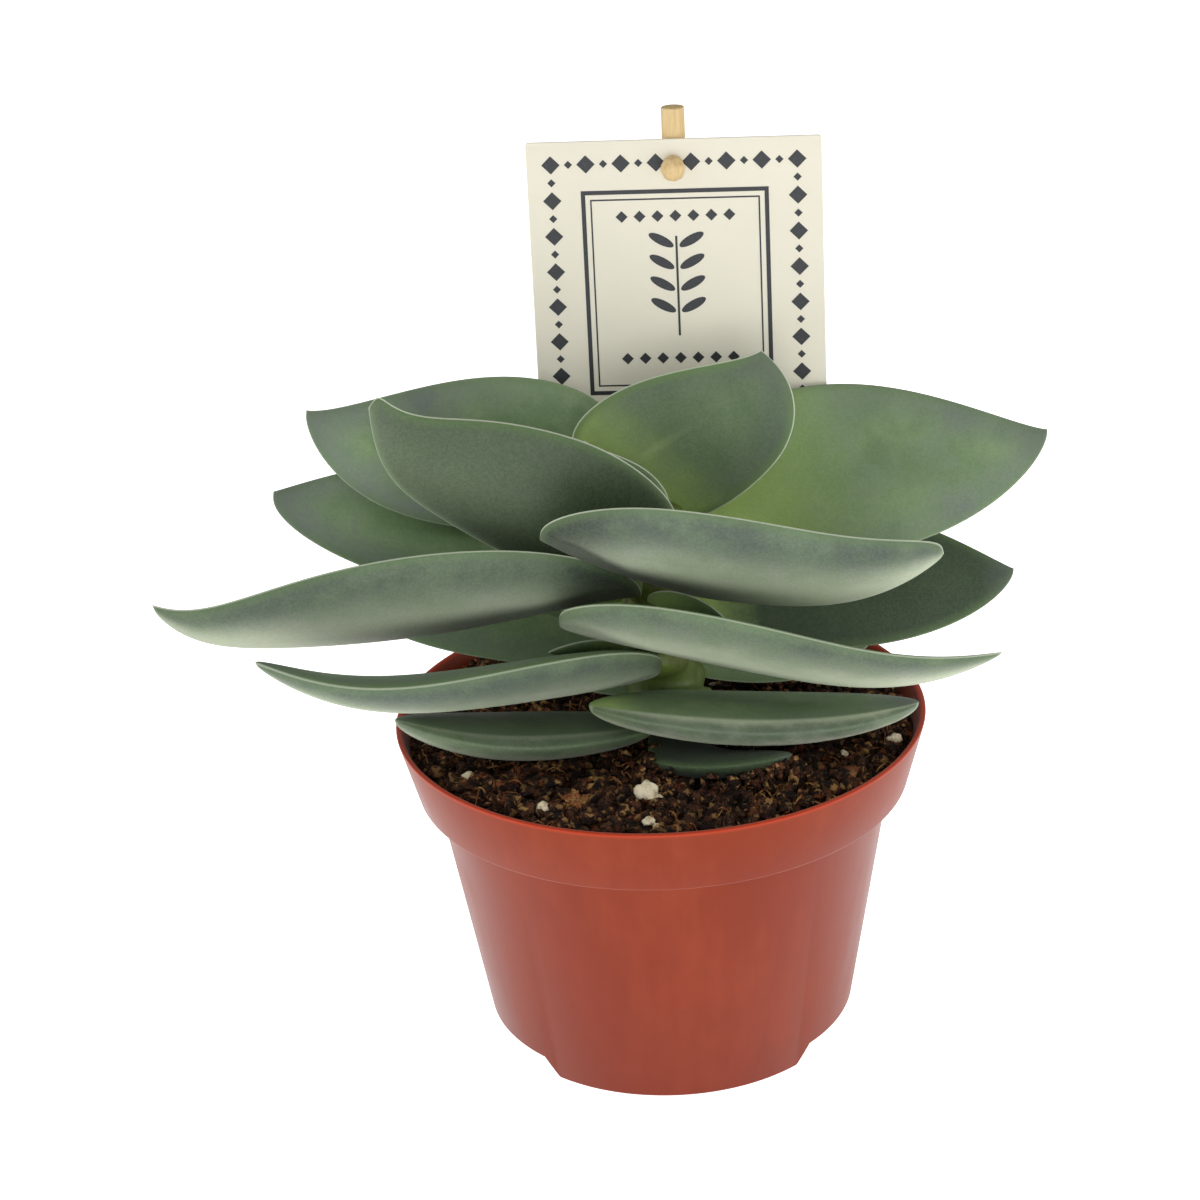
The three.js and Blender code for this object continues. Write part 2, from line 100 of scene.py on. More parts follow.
def rgb(red, green, blue):
    """An 8-bit screen colour as the linear numbers that a shader takes."""
    shares = [c / 255 for c in (red, green, blue)]
    return [s / 12.92 if s <= 0.04045 else ((s + 0.055) / 1.055) ** 2.4 for s in shares]


def colour(name, description, red, green, blue):
    return FloatVectorProperty(
        name=name, description=description, subtype="COLOR", size=3, min=0, max=1, default=rgb(red, green, blue)
    )


def length(name, description, millimetres):
    return FloatProperty(
        name=name, description=description, subtype="DISTANCE", unit="LENGTH", default=millimetres * MM, precision=5
    )


def share(name, description, value):
    return FloatProperty(name=name, description=description, subtype="FACTOR", min=0, max=1, default=value)


def angle(name, description, degrees):
    return FloatProperty(name=name, description=description, subtype="ANGLE", default=math.radians(degrees))


def power(name, description, watts):
    return FloatProperty(name=name, description=description, subtype="POWER", default=watts)


def count(name, description, number, least=0):
    return IntProperty(name=name, description=description, default=number, min=least)


pot_low, pot_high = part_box("pot")
pot_centre = (pot_low + pot_high) / 2
stem_low, stem_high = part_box("stem")
stem_centre = (stem_low + stem_high) / 2


class PotSettings(bpy.types.PropertyGroup):
    """The nursery pot, a thin moulded shell with a deep collar and a skirt under its floor."""

    rim_radius: length("Rim radius", "Outer radius at the top of the collar", 59.9)
    height: length("Height", "From the skirt's foot to the rim", pot_high.z / MM)
    wall: length("Wall", "Thickness of the moulded wall", 1.3)
    collar_height: length("Collar height", "From the collar's foot to the rim", 15.5)
    collar_foot_radius: length("Collar foot radius", "Outer radius at the foot of the collar", 55.75)
    collar_step: length("Collar step", "Height of the slope under the collar", 1.2)
    wall_top_radius: length("Wall top radius", "Outer radius of the wall just under the collar", 51.6)
    foot_radius: length("Foot radius", "Outer radius of the skirt's foot", 41.5)
    skirt_height: length("Skirt height", "From the foot to the underside of the floor", 4.6)
    floor_thickness: length("Floor thickness", "Thickness of the pot's floor", 1.6)
    notch_top_width: length("Notch top width", "Width of a skirt notch at the floor", 59.4)
    notch_foot_width: length("Notch foot width", "Width of a skirt notch at the foot", 64.6)
    turn: angle("Turn", "Turn of the notches about the axis", 1.2)
    drain_holes: count("Drain holes", "Holes through the floor", 6)
    drain_radius: length("Drain hole radius", "Radius of one drain hole", 3.5)
    drain_circle: length("Drain circle radius", "Radius of the circle that the holes lie on", 28)
    edge_round: length("Edge round", "Rounding of the outer corners", 0.45)
    steps: count("Steps", "Steps of the full turn", 180, 24)
    plastic: colour("Plastic", "Colour of the terracotta-coloured plastic", 122, 39, 8)
    # Paler, duller plastic: the random dusty patches, and the painted light that makes the collar paler towards the
    # rim.
    plastic_dusty_and_lit: colour("Dusty plastic", "Colour where the plastic is paler and duller", 155, 70, 42)
    rim_tint: colour("Rim", "Colour of the thin rim edge, where light comes through", 172, 58, 30)


class SoilSettings(bpy.types.PropertyGroup):
    """The peat in the pot, with its lumps, bark, white grains and fibres."""

    top: length("Top", "Mean height of the soil", 72.4)
    relief: length("Relief", "Height of the coarse waves", 1.1)
    grit: length("Grit", "Height of the fine roughness", 1.5)
    gap: length("Gap", "Room between the soil and the pot", 0.3)
    rings: count("Rings", "Rings of faces on the soil's top", 52, 8)
    steps: count("Steps", "Steps of the full turn", 160, 24)
    crumbs: count("Crumbs", "Loose crumbs of peat", 5600)
    chips: count("Bark chips", "Larger brown lumps and chips", 300)
    grains: count("White grains", "Small white grains, beside the placed ones", 30)
    fibres: count("Fibres", "Loose thin fibres", 380)
    # The dark peat lies in the hollows of the bump, so it is partly the peat's own colour and partly painted shade.
    dark: colour("Dark peat", "Colour of the peat in its hollows", 20, 12, 8)
    brown: colour("Brown peat", "Colour of the peat on its lumps", 102, 62, 39)
    golden: colour("Golden peat", "Colour of the light, woody bits", 186, 142, 86)
    bark: colour("Bark", "Colour of the reddish chips", 136, 76, 44)
    white: colour("White grain", "Colour of the light grains", 238, 226, 196)
    fibre: colour("Fibre", "Colour of the dry fibres", 206, 168, 104)


class LeafSettings(bpy.types.PropertyGroup):
    """The thick blue-green leaves, their pale margins and their waxy bloom."""

    # Painted light and shade: the bloom is painted paler low on the outer faces and darker high on them.
    silver_lit: colour("Silver bloom", "Pale waxy grey low on the outer faces", 186, 194, 170)
    cool_shaded: colour("Cool bloom", "Cooler, darker bloom high on the outer faces", 75, 88, 77)
    outer: colour("Outer face", "Green of an outer face with little bloom", 88, 108, 74)
    inner: colour("Inner face", "Colour of the inner faces", 140, 165, 117)
    inner_deep: colour("Inner face, dark", "Darker patches of the inner faces", 114, 142, 98)
    inner_grey: colour("Inner bloom", "Grey-violet bloom along the edges of the inner faces", 118, 130, 119)
    # Painted shade: the dark green that the shaded faces are blended towards.
    shade: colour("Deep green", "Green of the leaves that grew in the shade", 20, 36, 22)
    base: colour("Leaf base", "Fresh green towards the stem", 184, 214, 118)
    rib: colour("Rib", "Pale line along the middle of an inner face near the stem", 150, 166, 112)
    margin: colour("Margin", "Colour of the thin pale edge", 190, 198, 176)
    inside_margin: colour("Inside the margin", "Fresh green band beside the edge", 98, 124, 76)
    # Painted shade on the outer faces at their roots and along their lower edges.
    heel_shade: colour("Leaf heel", "Bluish dark of an outer face where it folds round the stem", 24, 31, 27)
    tip: colour("Tip", "Grey-violet of the tips", 92, 96, 92)
    dust: colour("Dust", "Light specks of the skin", 170, 177, 156)
    pores: colour("Pores", "Dark specks of the skin", 63, 74, 60)
    margin_width: length("Margin width", "Width of the pale edge", 0.42)
    crease: share("Edge sharpness", "How sharp the leaf's edge stays when smoothed", 0.75)


class StemSettings(bpy.types.PropertyGroup):
    """The short green stem between the leaf bases."""

    flesh: colour("Stem", "Yellow-green of the stem and the leaf bases", 92, 108, 34)
    pale: colour("Low bases", "Paler green of the lowest leaf bases", 86, 104, 44)
    scar: colour("Scar", "Browner places, as where old leaves were", 70, 74, 34)
    foot_radius: length("Foot radius", "Radius of the stem in the soil", 8)
    top_radius: length("Top radius", "Radius of the stem at its shoulder", 5)
    neck: length("Neck", "Height where the stem starts to taper", 78)
    shoulder: length("Shoulder", "Height where the stem ends in its growing point", 121)
    clasp_reach: length("Base reach", "How much of a leaf counts as next to the stem", 3)
    clasp_sink: length("Base sink", "How far a leaf's base grows into the leaf", 2.5)
    melt: length("Melt", "Size of the blocks by which stem and bases grow into one", 0.8)


class LabelSettings(bpy.types.PropertyGroup):
    """The card on its wooden stick, held by a wooden peg."""

    card_width: length("Card width", "Width of the card", 65.5)
    card_height: length("Card height", "Height of the card", 67)
    card_thickness: length("Card thickness", "Thickness of the card", 0.8)
    card_gap: length("Card gap", "Room between the card and the stick", 0.3)
    # Painted light: the card glows with its own colour, which lifts the shade on it.
    card_painted_glow: share("Card glow", "How much light shines through the card", 0.19)
    card_top: length("Card top", "Height of the card's top edge over the ground, before the lean", 198.4)
    corner: length("Corner", "Rounding of the card's corners", 0.7)
    stick_radius: length("Stick radius", "Radius of the round stick", 2.6)
    stick_top: length("Stick top", "Height of the stick's top", 204.9)
    stick_foot: length("Stick foot", "Height of the stick's foot in the soil", 28)
    peg_height: length("Peg height", "Height of the peg's axis", 192.3)
    peg_radius: length("Peg radius", "Radius of the peg's head", 2.7)
    peg_length: length("Peg length", "Length of the peg's head", 5)
    right: length("To the right", "How far right of the pot's axis the peg is", 8.4)
    behind: length("Behind", "How far behind the pot's axis the peg is", 38)
    lean: angle("Lean", "Lean of the stick, backwards", 3)
    turn: angle("Turn", "Turn of the card about the stick", 4.5)
    ink_height: length("Ink height", "How far the print stands off the card", 0.05)
    frame_drop: length("Frame drop", "From the card's top to the middle of its ruled frame", 34.8)
    paper: colour("Card", "Colour of the cream card", 210, 206, 190)
    ink: colour("Ink", "Colour of the dark print", 44, 46, 50)
    wood: colour("Wood", "Colour of the pale wood", 213, 187, 135)
    wood_dark: colour("Wood grain", "Colour of the wood's grain", 186, 148, 96)


class StageSettings(bpy.types.PropertyGroup):
    """The bright table, the soft lamps and the camera."""

    floor: colour("Floor", "Colour of the table", 250, 250, 250)
    glow: share("Table glow", "How brightly the table itself is lit through", 1.0)
    world: share("Room light", "Strength of the even light around", 0.27)
    side: power("Side lamps", "Power of each lamp at the sides", 4)
    top: power("Top lamp", "Power of the lamp above", 1.5)
    front: power("Front lamp", "Power of the low lamp in front", 4.9)
    distance: length("Camera distance", "From the pot's axis, along the ground", 610)
    rise: length("Camera height", "Height of the lens", 375)
    aim_height: length("Aim height", "Height of the point in the middle of the picture", 103.8)
    aim_side: length("Aim side", "How far right of the pot's axis that point is", -12.3)
    roll: angle("Roll", "Roll of the camera", -2.9221)
    lens: FloatProperty(name="Lens", description="Focal length on a 36 mm frame", unit="CAMERA", default=90)


class Wire:
    """A socket of a material, added and multiplied like a number, or used to add any other node."""

    def __init__(self, tree, socket=None):
        self.tree, self.socket = tree, socket

    def node(self, kind, settings, sockets, output=0):
        """Adds a node: its type, its settings, then the values or wires of its sockets."""
        made = self.tree.nodes.new(kind)
        for name, value in settings.items():
            setattr(made, name, value)
        for name, value in sockets.items():
            if isinstance(value, Wire):
                self.tree.links.new(value.socket, made.inputs[name])
            elif value is not None:
                made.inputs[name].default_value = value
        return Wire(self.tree, made.outputs[output])

    def math(self, operation, first, second=None, clamp=False):
        return self.node("ShaderNodeMath", {"operation": operation, "use_clamp": clamp}, {0: first, 1: second})

    def __add__(self, other):
        return self.math("ADD", self, other)

    def __radd__(self, other):
        return self.math("ADD", other, self)

    def __sub__(self, other):
        return self.math("SUBTRACT", self, other)

    def __rsub__(self, other):
        return self.math("SUBTRACT", other, self)

    def __mul__(self, other):
        return self.math("MULTIPLY", self, other)

    def __rmul__(self, other):
        return self.math("MULTIPLY", other, self)

    def __truediv__(self, other):
        return self.math("DIVIDE", self, other)

    def ramp(self, low, high):
        """Rises smoothly from 0 at low to 1 at high, and the other way round where high is lower."""
        return self.node(
            "ShaderNodeMapRange", {"interpolation_type": "SMOOTHSTEP"}, {0: self, 1: low, 2: high, 3: 0.0, 4: 1.0}
        )

    def blend(self, first, second):
        """Goes from the first colour to the second by this share."""
        ends = [list(c) + [1.0] if not isinstance(c, Wire) else c for c in (first, second)]
        return self.node("ShaderNodeMix", {"data_type": "RGBA"}, {0: self, 6: ends[0], 7: ends[1]}, 2)

    def attribute(self, name):
        return self.node("ShaderNodeAttribute", {"attribute_name": name}, {}, 2)

    def place(self, stretch=(1.0, 1.0, 1.0)):
        """The object's own coordinates in metres, stretched."""
        spot = self.node("ShaderNodeTexCoord", {}, {}, 3)
        if tuple(stretch) == (1.0, 1.0, 1.0):
            return spot
        return self.node("ShaderNodeMapping", {}, {"Vector": spot, "Scale": stretch})

    def noise(self, size, detail=3.0, rough=0.55, where=None):
        """Soft noise from 0 to 1 whose patches are about this many metres across."""
        where = where or self.place()
        return self.node(
            "ShaderNodeTexNoise", {}, {"Vector": where, "Scale": 1 / size, "Detail": detail, "Roughness": rough}
        )

    def bump(self, height, distance, strength):
        return self.node("ShaderNodeBump", {}, {"Height": height, "Distance": distance, "Strength": strength})


def settings(group):
    """The sizes and colours of one part of the object."""
    return getattr(bpy.context.scene, "crassula_" + group)


def material(name):
    """A new material with a Principled shader, and a wire to build its maps with."""
    made = bpy.data.materials.new(name)
    made.use_nodes = True
    tree = made.node_tree
    return made, tree.nodes["Principled BSDF"], Wire(tree)


def connect(shader, **sockets):
    """Sets or links the shader's sockets, named with _ for a space."""
    for name, value in sockets.items():
        socket = shader.inputs[name.replace("_", " ")]
        if isinstance(value, Wire):
            value.tree.links.new(value.socket, socket)
        else:
            socket.default_value = [*value, 1.0] if socket.type == "RGBA" else value


def add_piece(name, bm, finish, slot, *nodes):
    """Makes the object of a finished piece, hangs it on the root body, and hides the solids that it stands for."""
    mesh = bpy.data.meshes.new(name)
    bm.to_mesh(mesh)
    bm.free()
    piece = bpy.data.objects.new(name, mesh)
    bpy.context.scene.collection.objects.link(piece)
    mesh.materials.append(finish)
    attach(piece, "root")
    if nodes:
        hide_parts(*nodes)
    return piece


def gather(bm, few):
    """Moves what a small mesh holds into a large one, where each new shape would take longer to make."""
    mesh = bpy.data.meshes.new("few")
    few.to_mesh(mesh)
    few.clear()
    bm.from_mesh(mesh)
    bpy.data.meshes.remove(mesh)


def settle(piece):
    """Makes a piece's live modifiers part of its mesh."""
    graph = bpy.context.evaluated_depsgraph_get()
    before = piece.data
    piece.data = bpy.data.meshes.new_from_object(piece.evaluated_get(graph))
    piece.modifiers.clear()
    bpy.data.meshes.remove(before)


def shade(piece, degrees):
    """Smooth shading with the edges over this angle kept sharp."""
    piece.data.polygons.foreach_set("use_smooth", [True] * len(piece.data.polygons))
    piece.data.set_sharp_from_angle(angle=math.radians(degrees))


def shift(bm, place):
    """Moves and turns all that a mesh holds."""
    bmesh.ops.transform(bm, matrix=place, verts=bm.verts)


def spun(corners, steps):
    """A solid turned about Z from the corners of half its section."""
    bm = bmesh.new()
    line = [bm.verts.new((radius, 0, height)) for radius, height in corners]
    edges = [bm.edges.new(pair) for pair in zip(line, line[1:])]
    bmesh.ops.spin(
        bm, geom=line + edges, cent=(0, 0, 0), axis=(0, 0, 1), angle=2 * math.pi, steps=steps, use_merge=True
    )
    bmesh.ops.remove_doubles(bm, verts=bm.verts, dist=1e-6)
    bmesh.ops.recalc_face_normals(bm, faces=bm.faces)
    return bm


def bevel_sharp(bm, offset, segments, degrees=30):
    """Rounds the edges whose faces meet at more than this angle."""
    sharp = [e for e in bm.edges if e.is_manifold and e.calc_face_angle(0) > math.radians(degrees)]
    bmesh.ops.bevel(
        bm, geom=sharp, offset=offset, offset_type="OFFSET", affect="EDGES", segments=segments, profile=0.5,
        material=-1, clamp_overlap=True
    )


def cut(piece, cutter):
    """Takes the cutter's solid out of the piece."""
    bmesh.ops.recalc_face_normals(cutter, faces=cutter.faces)
    mesh = bpy.data.meshes.new("cutter")
    cutter.to_mesh(mesh)
    cutter.free()
    tool = bpy.data.objects.new("cutter", mesh)
    bpy.context.scene.collection.objects.link(tool)
    modifier = piece.modifiers.new("cut", "BOOLEAN")
    modifier.operation, modifier.solver, modifier.object = "DIFFERENCE", "EXACT", tool
    settle(piece)
    bpy.data.objects.remove(tool)
    bpy.data.meshes.remove(mesh)


def pot_plastic():
    made, shader, wire = material("pot_plastic")
    s = settings("pot")
    cloudy = wire.noise(0.035, 3)
    streaks = wire.noise(0.004, 3, where=wire.place((1, 1, 0.12)))
    grain = wire.noise(0.0006, 2)
    height = wire.node("ShaderNodeSeparateXYZ", {}, {0: wire.place()}, 2)
    rim = height.ramp(s.height - 0.0011, s.height - 0.0002)
    dust = (cloudy * 0.7 + streaks * 0.3).ramp(0.42, 0.72)
    # Painted light: the collar is blended towards the paler plastic, more so towards the rim.
    collar = height.ramp(s.height - s.collar_height, s.height)
    body = (dust * 0.35 + collar * 0.2).blend(s.plastic, s.plastic_dusty_and_lit)
    # Painted shade: the plastic darkens towards the foot of the pot.
    foot = height.ramp(0.045, 0.0) * 0.22
    body = foot.blend(body, [c * 0.5 for c in s.plastic])
    connect(
        shader,
        Base_Color=rim.blend(body, s.rim_tint),
        Roughness=0.36 + 0.14 * dust + 0.05 * grain,
        Normal=wire.bump(grain * 0.4 + cloudy, 0.00012, 0.35),
        Subsurface_Weight=0.06,
        Subsurface_Radius=[0.004, 0.0015, 0.001],
        Specular_IOR_Level=0.14,
        Sheen_Weight=0.17,
        Sheen_Roughness=0.4,
    )
    return made


def peat(name, low, high, light, size=0.002):
    """Crumbly peat that goes from low to high, with some bits of the light colour."""
    made, shader, wire = material(name)
    clods = wire.noise(size * 2.2, 4, 0.65)
    grit = wire.noise(size * 0.35, 3, 0.6)
    bits = wire.noise(size * 1.7, 2, 0.5, wire.place((1, 1, 1.01))).ramp(0.55, 0.64)
    sunny = wire.noise(0.011, 2, 0.6).ramp(0.44, 0.6)
    # Low tone falls in the hollows of the bump: the low colour there is partly the peat's own and partly painted shade.
    tone = (clods * 0.6 + grit * 0.4).ramp(0.45, 0.62) * (0.7 + 0.3 * sunny)
    connect(
        shader,
        Base_Color=(bits * (0.35 + 0.5 * grit) * (0.5 + 0.8 * sunny)).blend(tone.blend(low, high), light),
        Roughness=0.85 + 0.12 * grit,
        Normal=wire.bump(clods * 0.6 + grit, 0.0007, 0.9),
        Specular_IOR_Level=0.25,
    )
    return made


def grain_white():
    made, shader, wire = material("white_grain")
    s = settings("soil")
    pits = wire.noise(0.0007, 3, 0.65)
    stain = (wire.noise(0.0025, 3, 0.6) * 0.6 + pits * 0.4).ramp(0.47, 0.62)
    stained = [c * left for c, left in zip(s.white, (0.62, 0.52, 0.38))]
    connect(
        shader, Base_Color=stain.blend(s.white, stained), Roughness=0.9 - 0.1 * pits,
        Normal=wire.bump(pits, 0.0004, 0.8)
    )
    return made


def leaf_skin():
    made, shader, wire = material("leaf_skin")
    s = settings("leaf")
    outside = wire.attribute("outside").ramp(0.35, 0.65)
    reach, edge, across = (wire.attribute(name) for name in ("reach", "edge", "across"))
    bloom, pale, deep_inner, deep_outer, fresh, folded, tucked = (wire.attribute(name) for name in LEAF_SHARES)
    broad = wire.noise(0.022, 2)
    patch = wire.noise(0.006, 4, 0.6)
    drift = wire.noise(0.012, 3, 0.6)
    speck = wire.noise(0.0008, 2, 0.6)
    fine = wire.noise(0.0004, 2, 0.6)
    cloudy = (broad * 0.5 + patch * 0.5).ramp(0.38, 0.62)

    # Painted light and shade on the outer bloom: paler low across the face, darker high on it, and darker further down
    # on leaves that lie behind others.
    free = tucked.ramp(0.3, 0.0)
    height = across + 0.35 * (patch - 0.5)
    high = (height + 0.5 * (tucked - 1.0)).ramp(-0.35, 0.7) * (1.0 - free) + height.ramp(0.7, 1.0) * free
    waxy = high.blend(s.silver_lit, s.cool_shaded)
    waxy = (cloudy * 0.2).blend(waxy, s.inner)
    outer = bloom.blend(s.outer, waxy)
    inner = (cloudy * 0.85 + speck * 0.15).blend(s.inner_deep, s.inner)
    grey = (edge.ramp(11 * MM, 1.5 * MM) * 0.75 + drift.ramp(0.45, 0.7) * 0.5) * reach.ramp(0.1, 0.8)
    inner = (grey * (1.0 - 0.8 * deep_inner)).blend(inner, s.inner_grey)
    # Painted shade: the inner and outer faces are blended towards the dark green by their shade shares.
    deep_outer = deep_outer * 0.95 + (1.0 - cloudy) * 0.06
    inner = (deep_inner * 0.95).blend(inner, s.shade)
    face = outside.blend(inner, deep_outer.blend(outer, s.shade))

    spread = (reach + 0.16 * (patch - 0.5)) / (0.05 + 0.3 * fresh)
    flush = spread.ramp(1.0, 0.1) * (1.0 - outside * (0.25 + 0.6 * bloom)) * wire.math("MINIMUM", fresh + 0.2, 1.0)
    face = (flush * 0.85).blend(face, s.base)
    middle = wire.math("ABSOLUTE", across - 0.12)
    rib = middle.ramp(0.08, 0.0) * reach.ramp(0.65, 0.2) * (1.0 - outside) * 0.6 * pale
    face = rib.blend(face, s.rib)
    # Painted shade at the root of the outer face and along its lower edge, where the leaves shade each other.
    root = (reach + 0.06 * (patch - 0.5)).ramp(0.3, 0.04) * folded + reach.ramp(0.06, 0.0) * 0.5 * tucked
    under = (across - 0.75 * reach.ramp(0.24, 0.02)).ramp(0.0, -0.5) * reach.ramp(0.75, 0.3) * tucked
    heel_shade = wire.math("MAXIMUM", root, under, True) * outside * bloom * 0.9
    face = heel_shade.blend(face, s.heel_shade)

    grain = (fine * 0.5 + speck * 0.5).ramp(0.38, 0.62)
    dusted = 0.05 + 0.02 * outside
    face = (dusted * grain).blend(face, s.dust)
    face = (1.5 * dusted * (1.0 - grain)).blend(face, s.pores)
    beside = edge.ramp(2.8 * MM, 0.4 * MM) * (0.3 + 0.5 * pale) * (1.0 - 0.4 * outside)
    face = beside.blend(face, s.inside_margin)
    dark = (reach + 0.06 * (patch - 0.5)).ramp(0.86, 1.01) * (0.6 - 0.4 * outside)
    face = dark.blend(face, s.tip)
    rim = edge.ramp(s.margin_width, 0.35 * s.margin_width) * pale
    face = rim.blend(face, s.margin)
    connect(
        shader,
        Base_Color=face,
        Roughness=0.5 + 0.1 * speck + 0.08 * bloom - 0.08 * rim,
        Normal=wire.bump(fine * 0.4 + speck * 0.5 + patch * 1.6, 0.00016, 0.5),
        Subsurface_Weight=0.06,
        Subsurface_Radius=[0.0025, 0.0035, 0.0012],
        Subsurface_Scale=1.0,
        Specular_IOR_Level=0.3,
        Sheen_Weight=0.05,
        Sheen_Roughness=0.45,
    )
    return made


def stem_flesh():
    made, shader, wire = material("stem_flesh")
    s = settings("stem")
    patch = wire.noise(0.006, 4, 0.6)
    streak = wire.noise(0.0015, 3, 0.6, wire.place((1, 1, 0.2)))
    tone = (patch * 0.6 + streak * 0.4).ramp(0.4, 0.68)
    height = wire.node("ShaderNodeSeparateXYZ", {}, {0: wire.place()}, 2)
    low = (height + 0.004 * (patch - 0.5)).ramp(93 * MM, 88 * MM)
    connect(
        shader, Base_Color=(0.85 * low).blend(tone.blend(s.flesh, s.scar), s.pale), Roughness=0.5 + 0.2 * tone,
        Normal=wire.bump(streak + patch, 0.0004, 0.6), Subsurface_Weight=0.08, Subsurface_Radius=[0.003, 0.003, 0.001]
    )
    return made


def card_stock():
    made, shader, wire = material("card_stock")
    s = settings("label")
    pulp = wire.noise(0.0012, 4, 0.7)
    tone = wire.noise(0.03, 2).ramp(0.35, 0.7)
    shaded = [c * 0.94 for c in s.paper]
    # Painted light: the card's glow in its own colour.
    connect(
        shader, Base_Color=(tone * 0.6 + pulp * 0.4).blend(s.paper, shaded), Roughness=0.72 + 0.1 * pulp,
        Normal=wire.bump(pulp, 0.00006, 0.5), Specular_IOR_Level=0.3, Subsurface_Weight=0.3,
        Subsurface_Radius=[0.004, 0.004, 0.0035], Emission_Color=s.paper, Emission_Strength=s.card_painted_glow
    )
    return made


def card_ink():
    made, shader, wire = material("card_ink")
    s = settings("label")
    worn = wire.noise(0.0007, 3, 0.7).ramp(0.5, 0.85)
    lighter = [c + 0.035 for c in s.ink]
    connect(shader, Base_Color=worn.blend(s.ink, lighter), Roughness=0.6 + 0.15 * worn)
    return made


def pale_wood():
    made, shader, wire = material("pale_wood")
    s = settings("label")
    along = wire.noise(0.0011, 4, 0.6, wire.place((1, 1, 0.06)))
    pores = wire.noise(0.00035, 2, 0.6, wire.place((1, 1, 0.05)))
    tone = (along * 0.65 + pores * 0.35).ramp(0.4, 0.7)
    connect(
        shader, Base_Color=(tone * 0.75).blend(s.wood, s.wood_dark), Roughness=0.6 + 0.15 * tone,
        Normal=wire.bump(along + pores, 0.0002, 0.7)
    )
    return made


def leaf_cage(node):
    """A leaf's solid as rings of quads between its two poles, each ring in the same order."""
    bm = bmesh.new()
    bm.from_mesh(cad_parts[node].data)
    bmesh.ops.remove_doubles(bm, verts=bm.verts, dist=1e-6)
    bm.edges.layers.float.new("crease_edge")
    for name in ("crease_vert", "reach", "outside", "margin", "across"):
        bm.verts.layers.float.new(name)
    poles = [v for v in bm.verts if len(v.link_edges) == POLE_SPOKES]
    if len(poles) != 2:
        raise ValueError(f"{node} has {len(poles)} poles, not 2")
    root, tip = sorted(poles, key=lambda v: (v.co.xy - stem_centre.xy).length)
    rings, seen, layer = [], {root}, {root}
    while True:
        layer = {e.other_vert(v) for v in layer for e in v.link_edges} - seen
        if tip in layer:
            break
        seen |= layer
        ring = [min(layer, key=lambda v: v.index)]
        while len(ring) < len(layer):
            near = [e.other_vert(ring[-1]) for e in ring[-1].link_edges]
            ring.append(next(v for v in near if v in layer and v not in ring))
        rings.append(ring)
    slants = ([], [])
    for lower, upper in zip(rings, rings[1:]):
        for face in {f for v in lower for f in v.link_faces}:
            corners = list(face.verts)
            above = [v in upper for v in corners]
            if sum(above) == 1 and sum(v in lower for v in corners) == 2:
                at = above.index(True)
                for side, beside in zip(slants, (corners[at - 2], corners[at - 1])):
                    side.append(bm.edges.get((corners[at], beside)))
    slants = sorted(slants, key=lambda edges: sum(e.calc_length() for e in edges))
    bmesh.ops.dissolve_edges(bm, edges=slants[1])
    for i in range(1, len(rings)):
        rings[i] = [next(e.other_vert(v) for e in v.link_edges if e.other_vert(v) in rings[i]) for v in rings[i - 1]]
    return bm, root, tip, rings


def leaf_edges(rings):
    """The two columns of a leaf where its faces meet most sharply, one behind the other."""
    columns = len(rings[0])
    sharp = np.zeros(columns)
    for lower, upper in zip(rings, rings[1:]):
        for j in range(columns):
            edge = next(e for e in lower[j].link_edges if e.other_vert(lower[j]) is upper[j])
            sharp[j] += edge.calc_face_angle(0)
    both = [sharp[j] + sharp[(j + columns // 2) % columns] for j in range(columns // 2)]
    first = int(np.argmax(both))
    return first, first + columns // 2


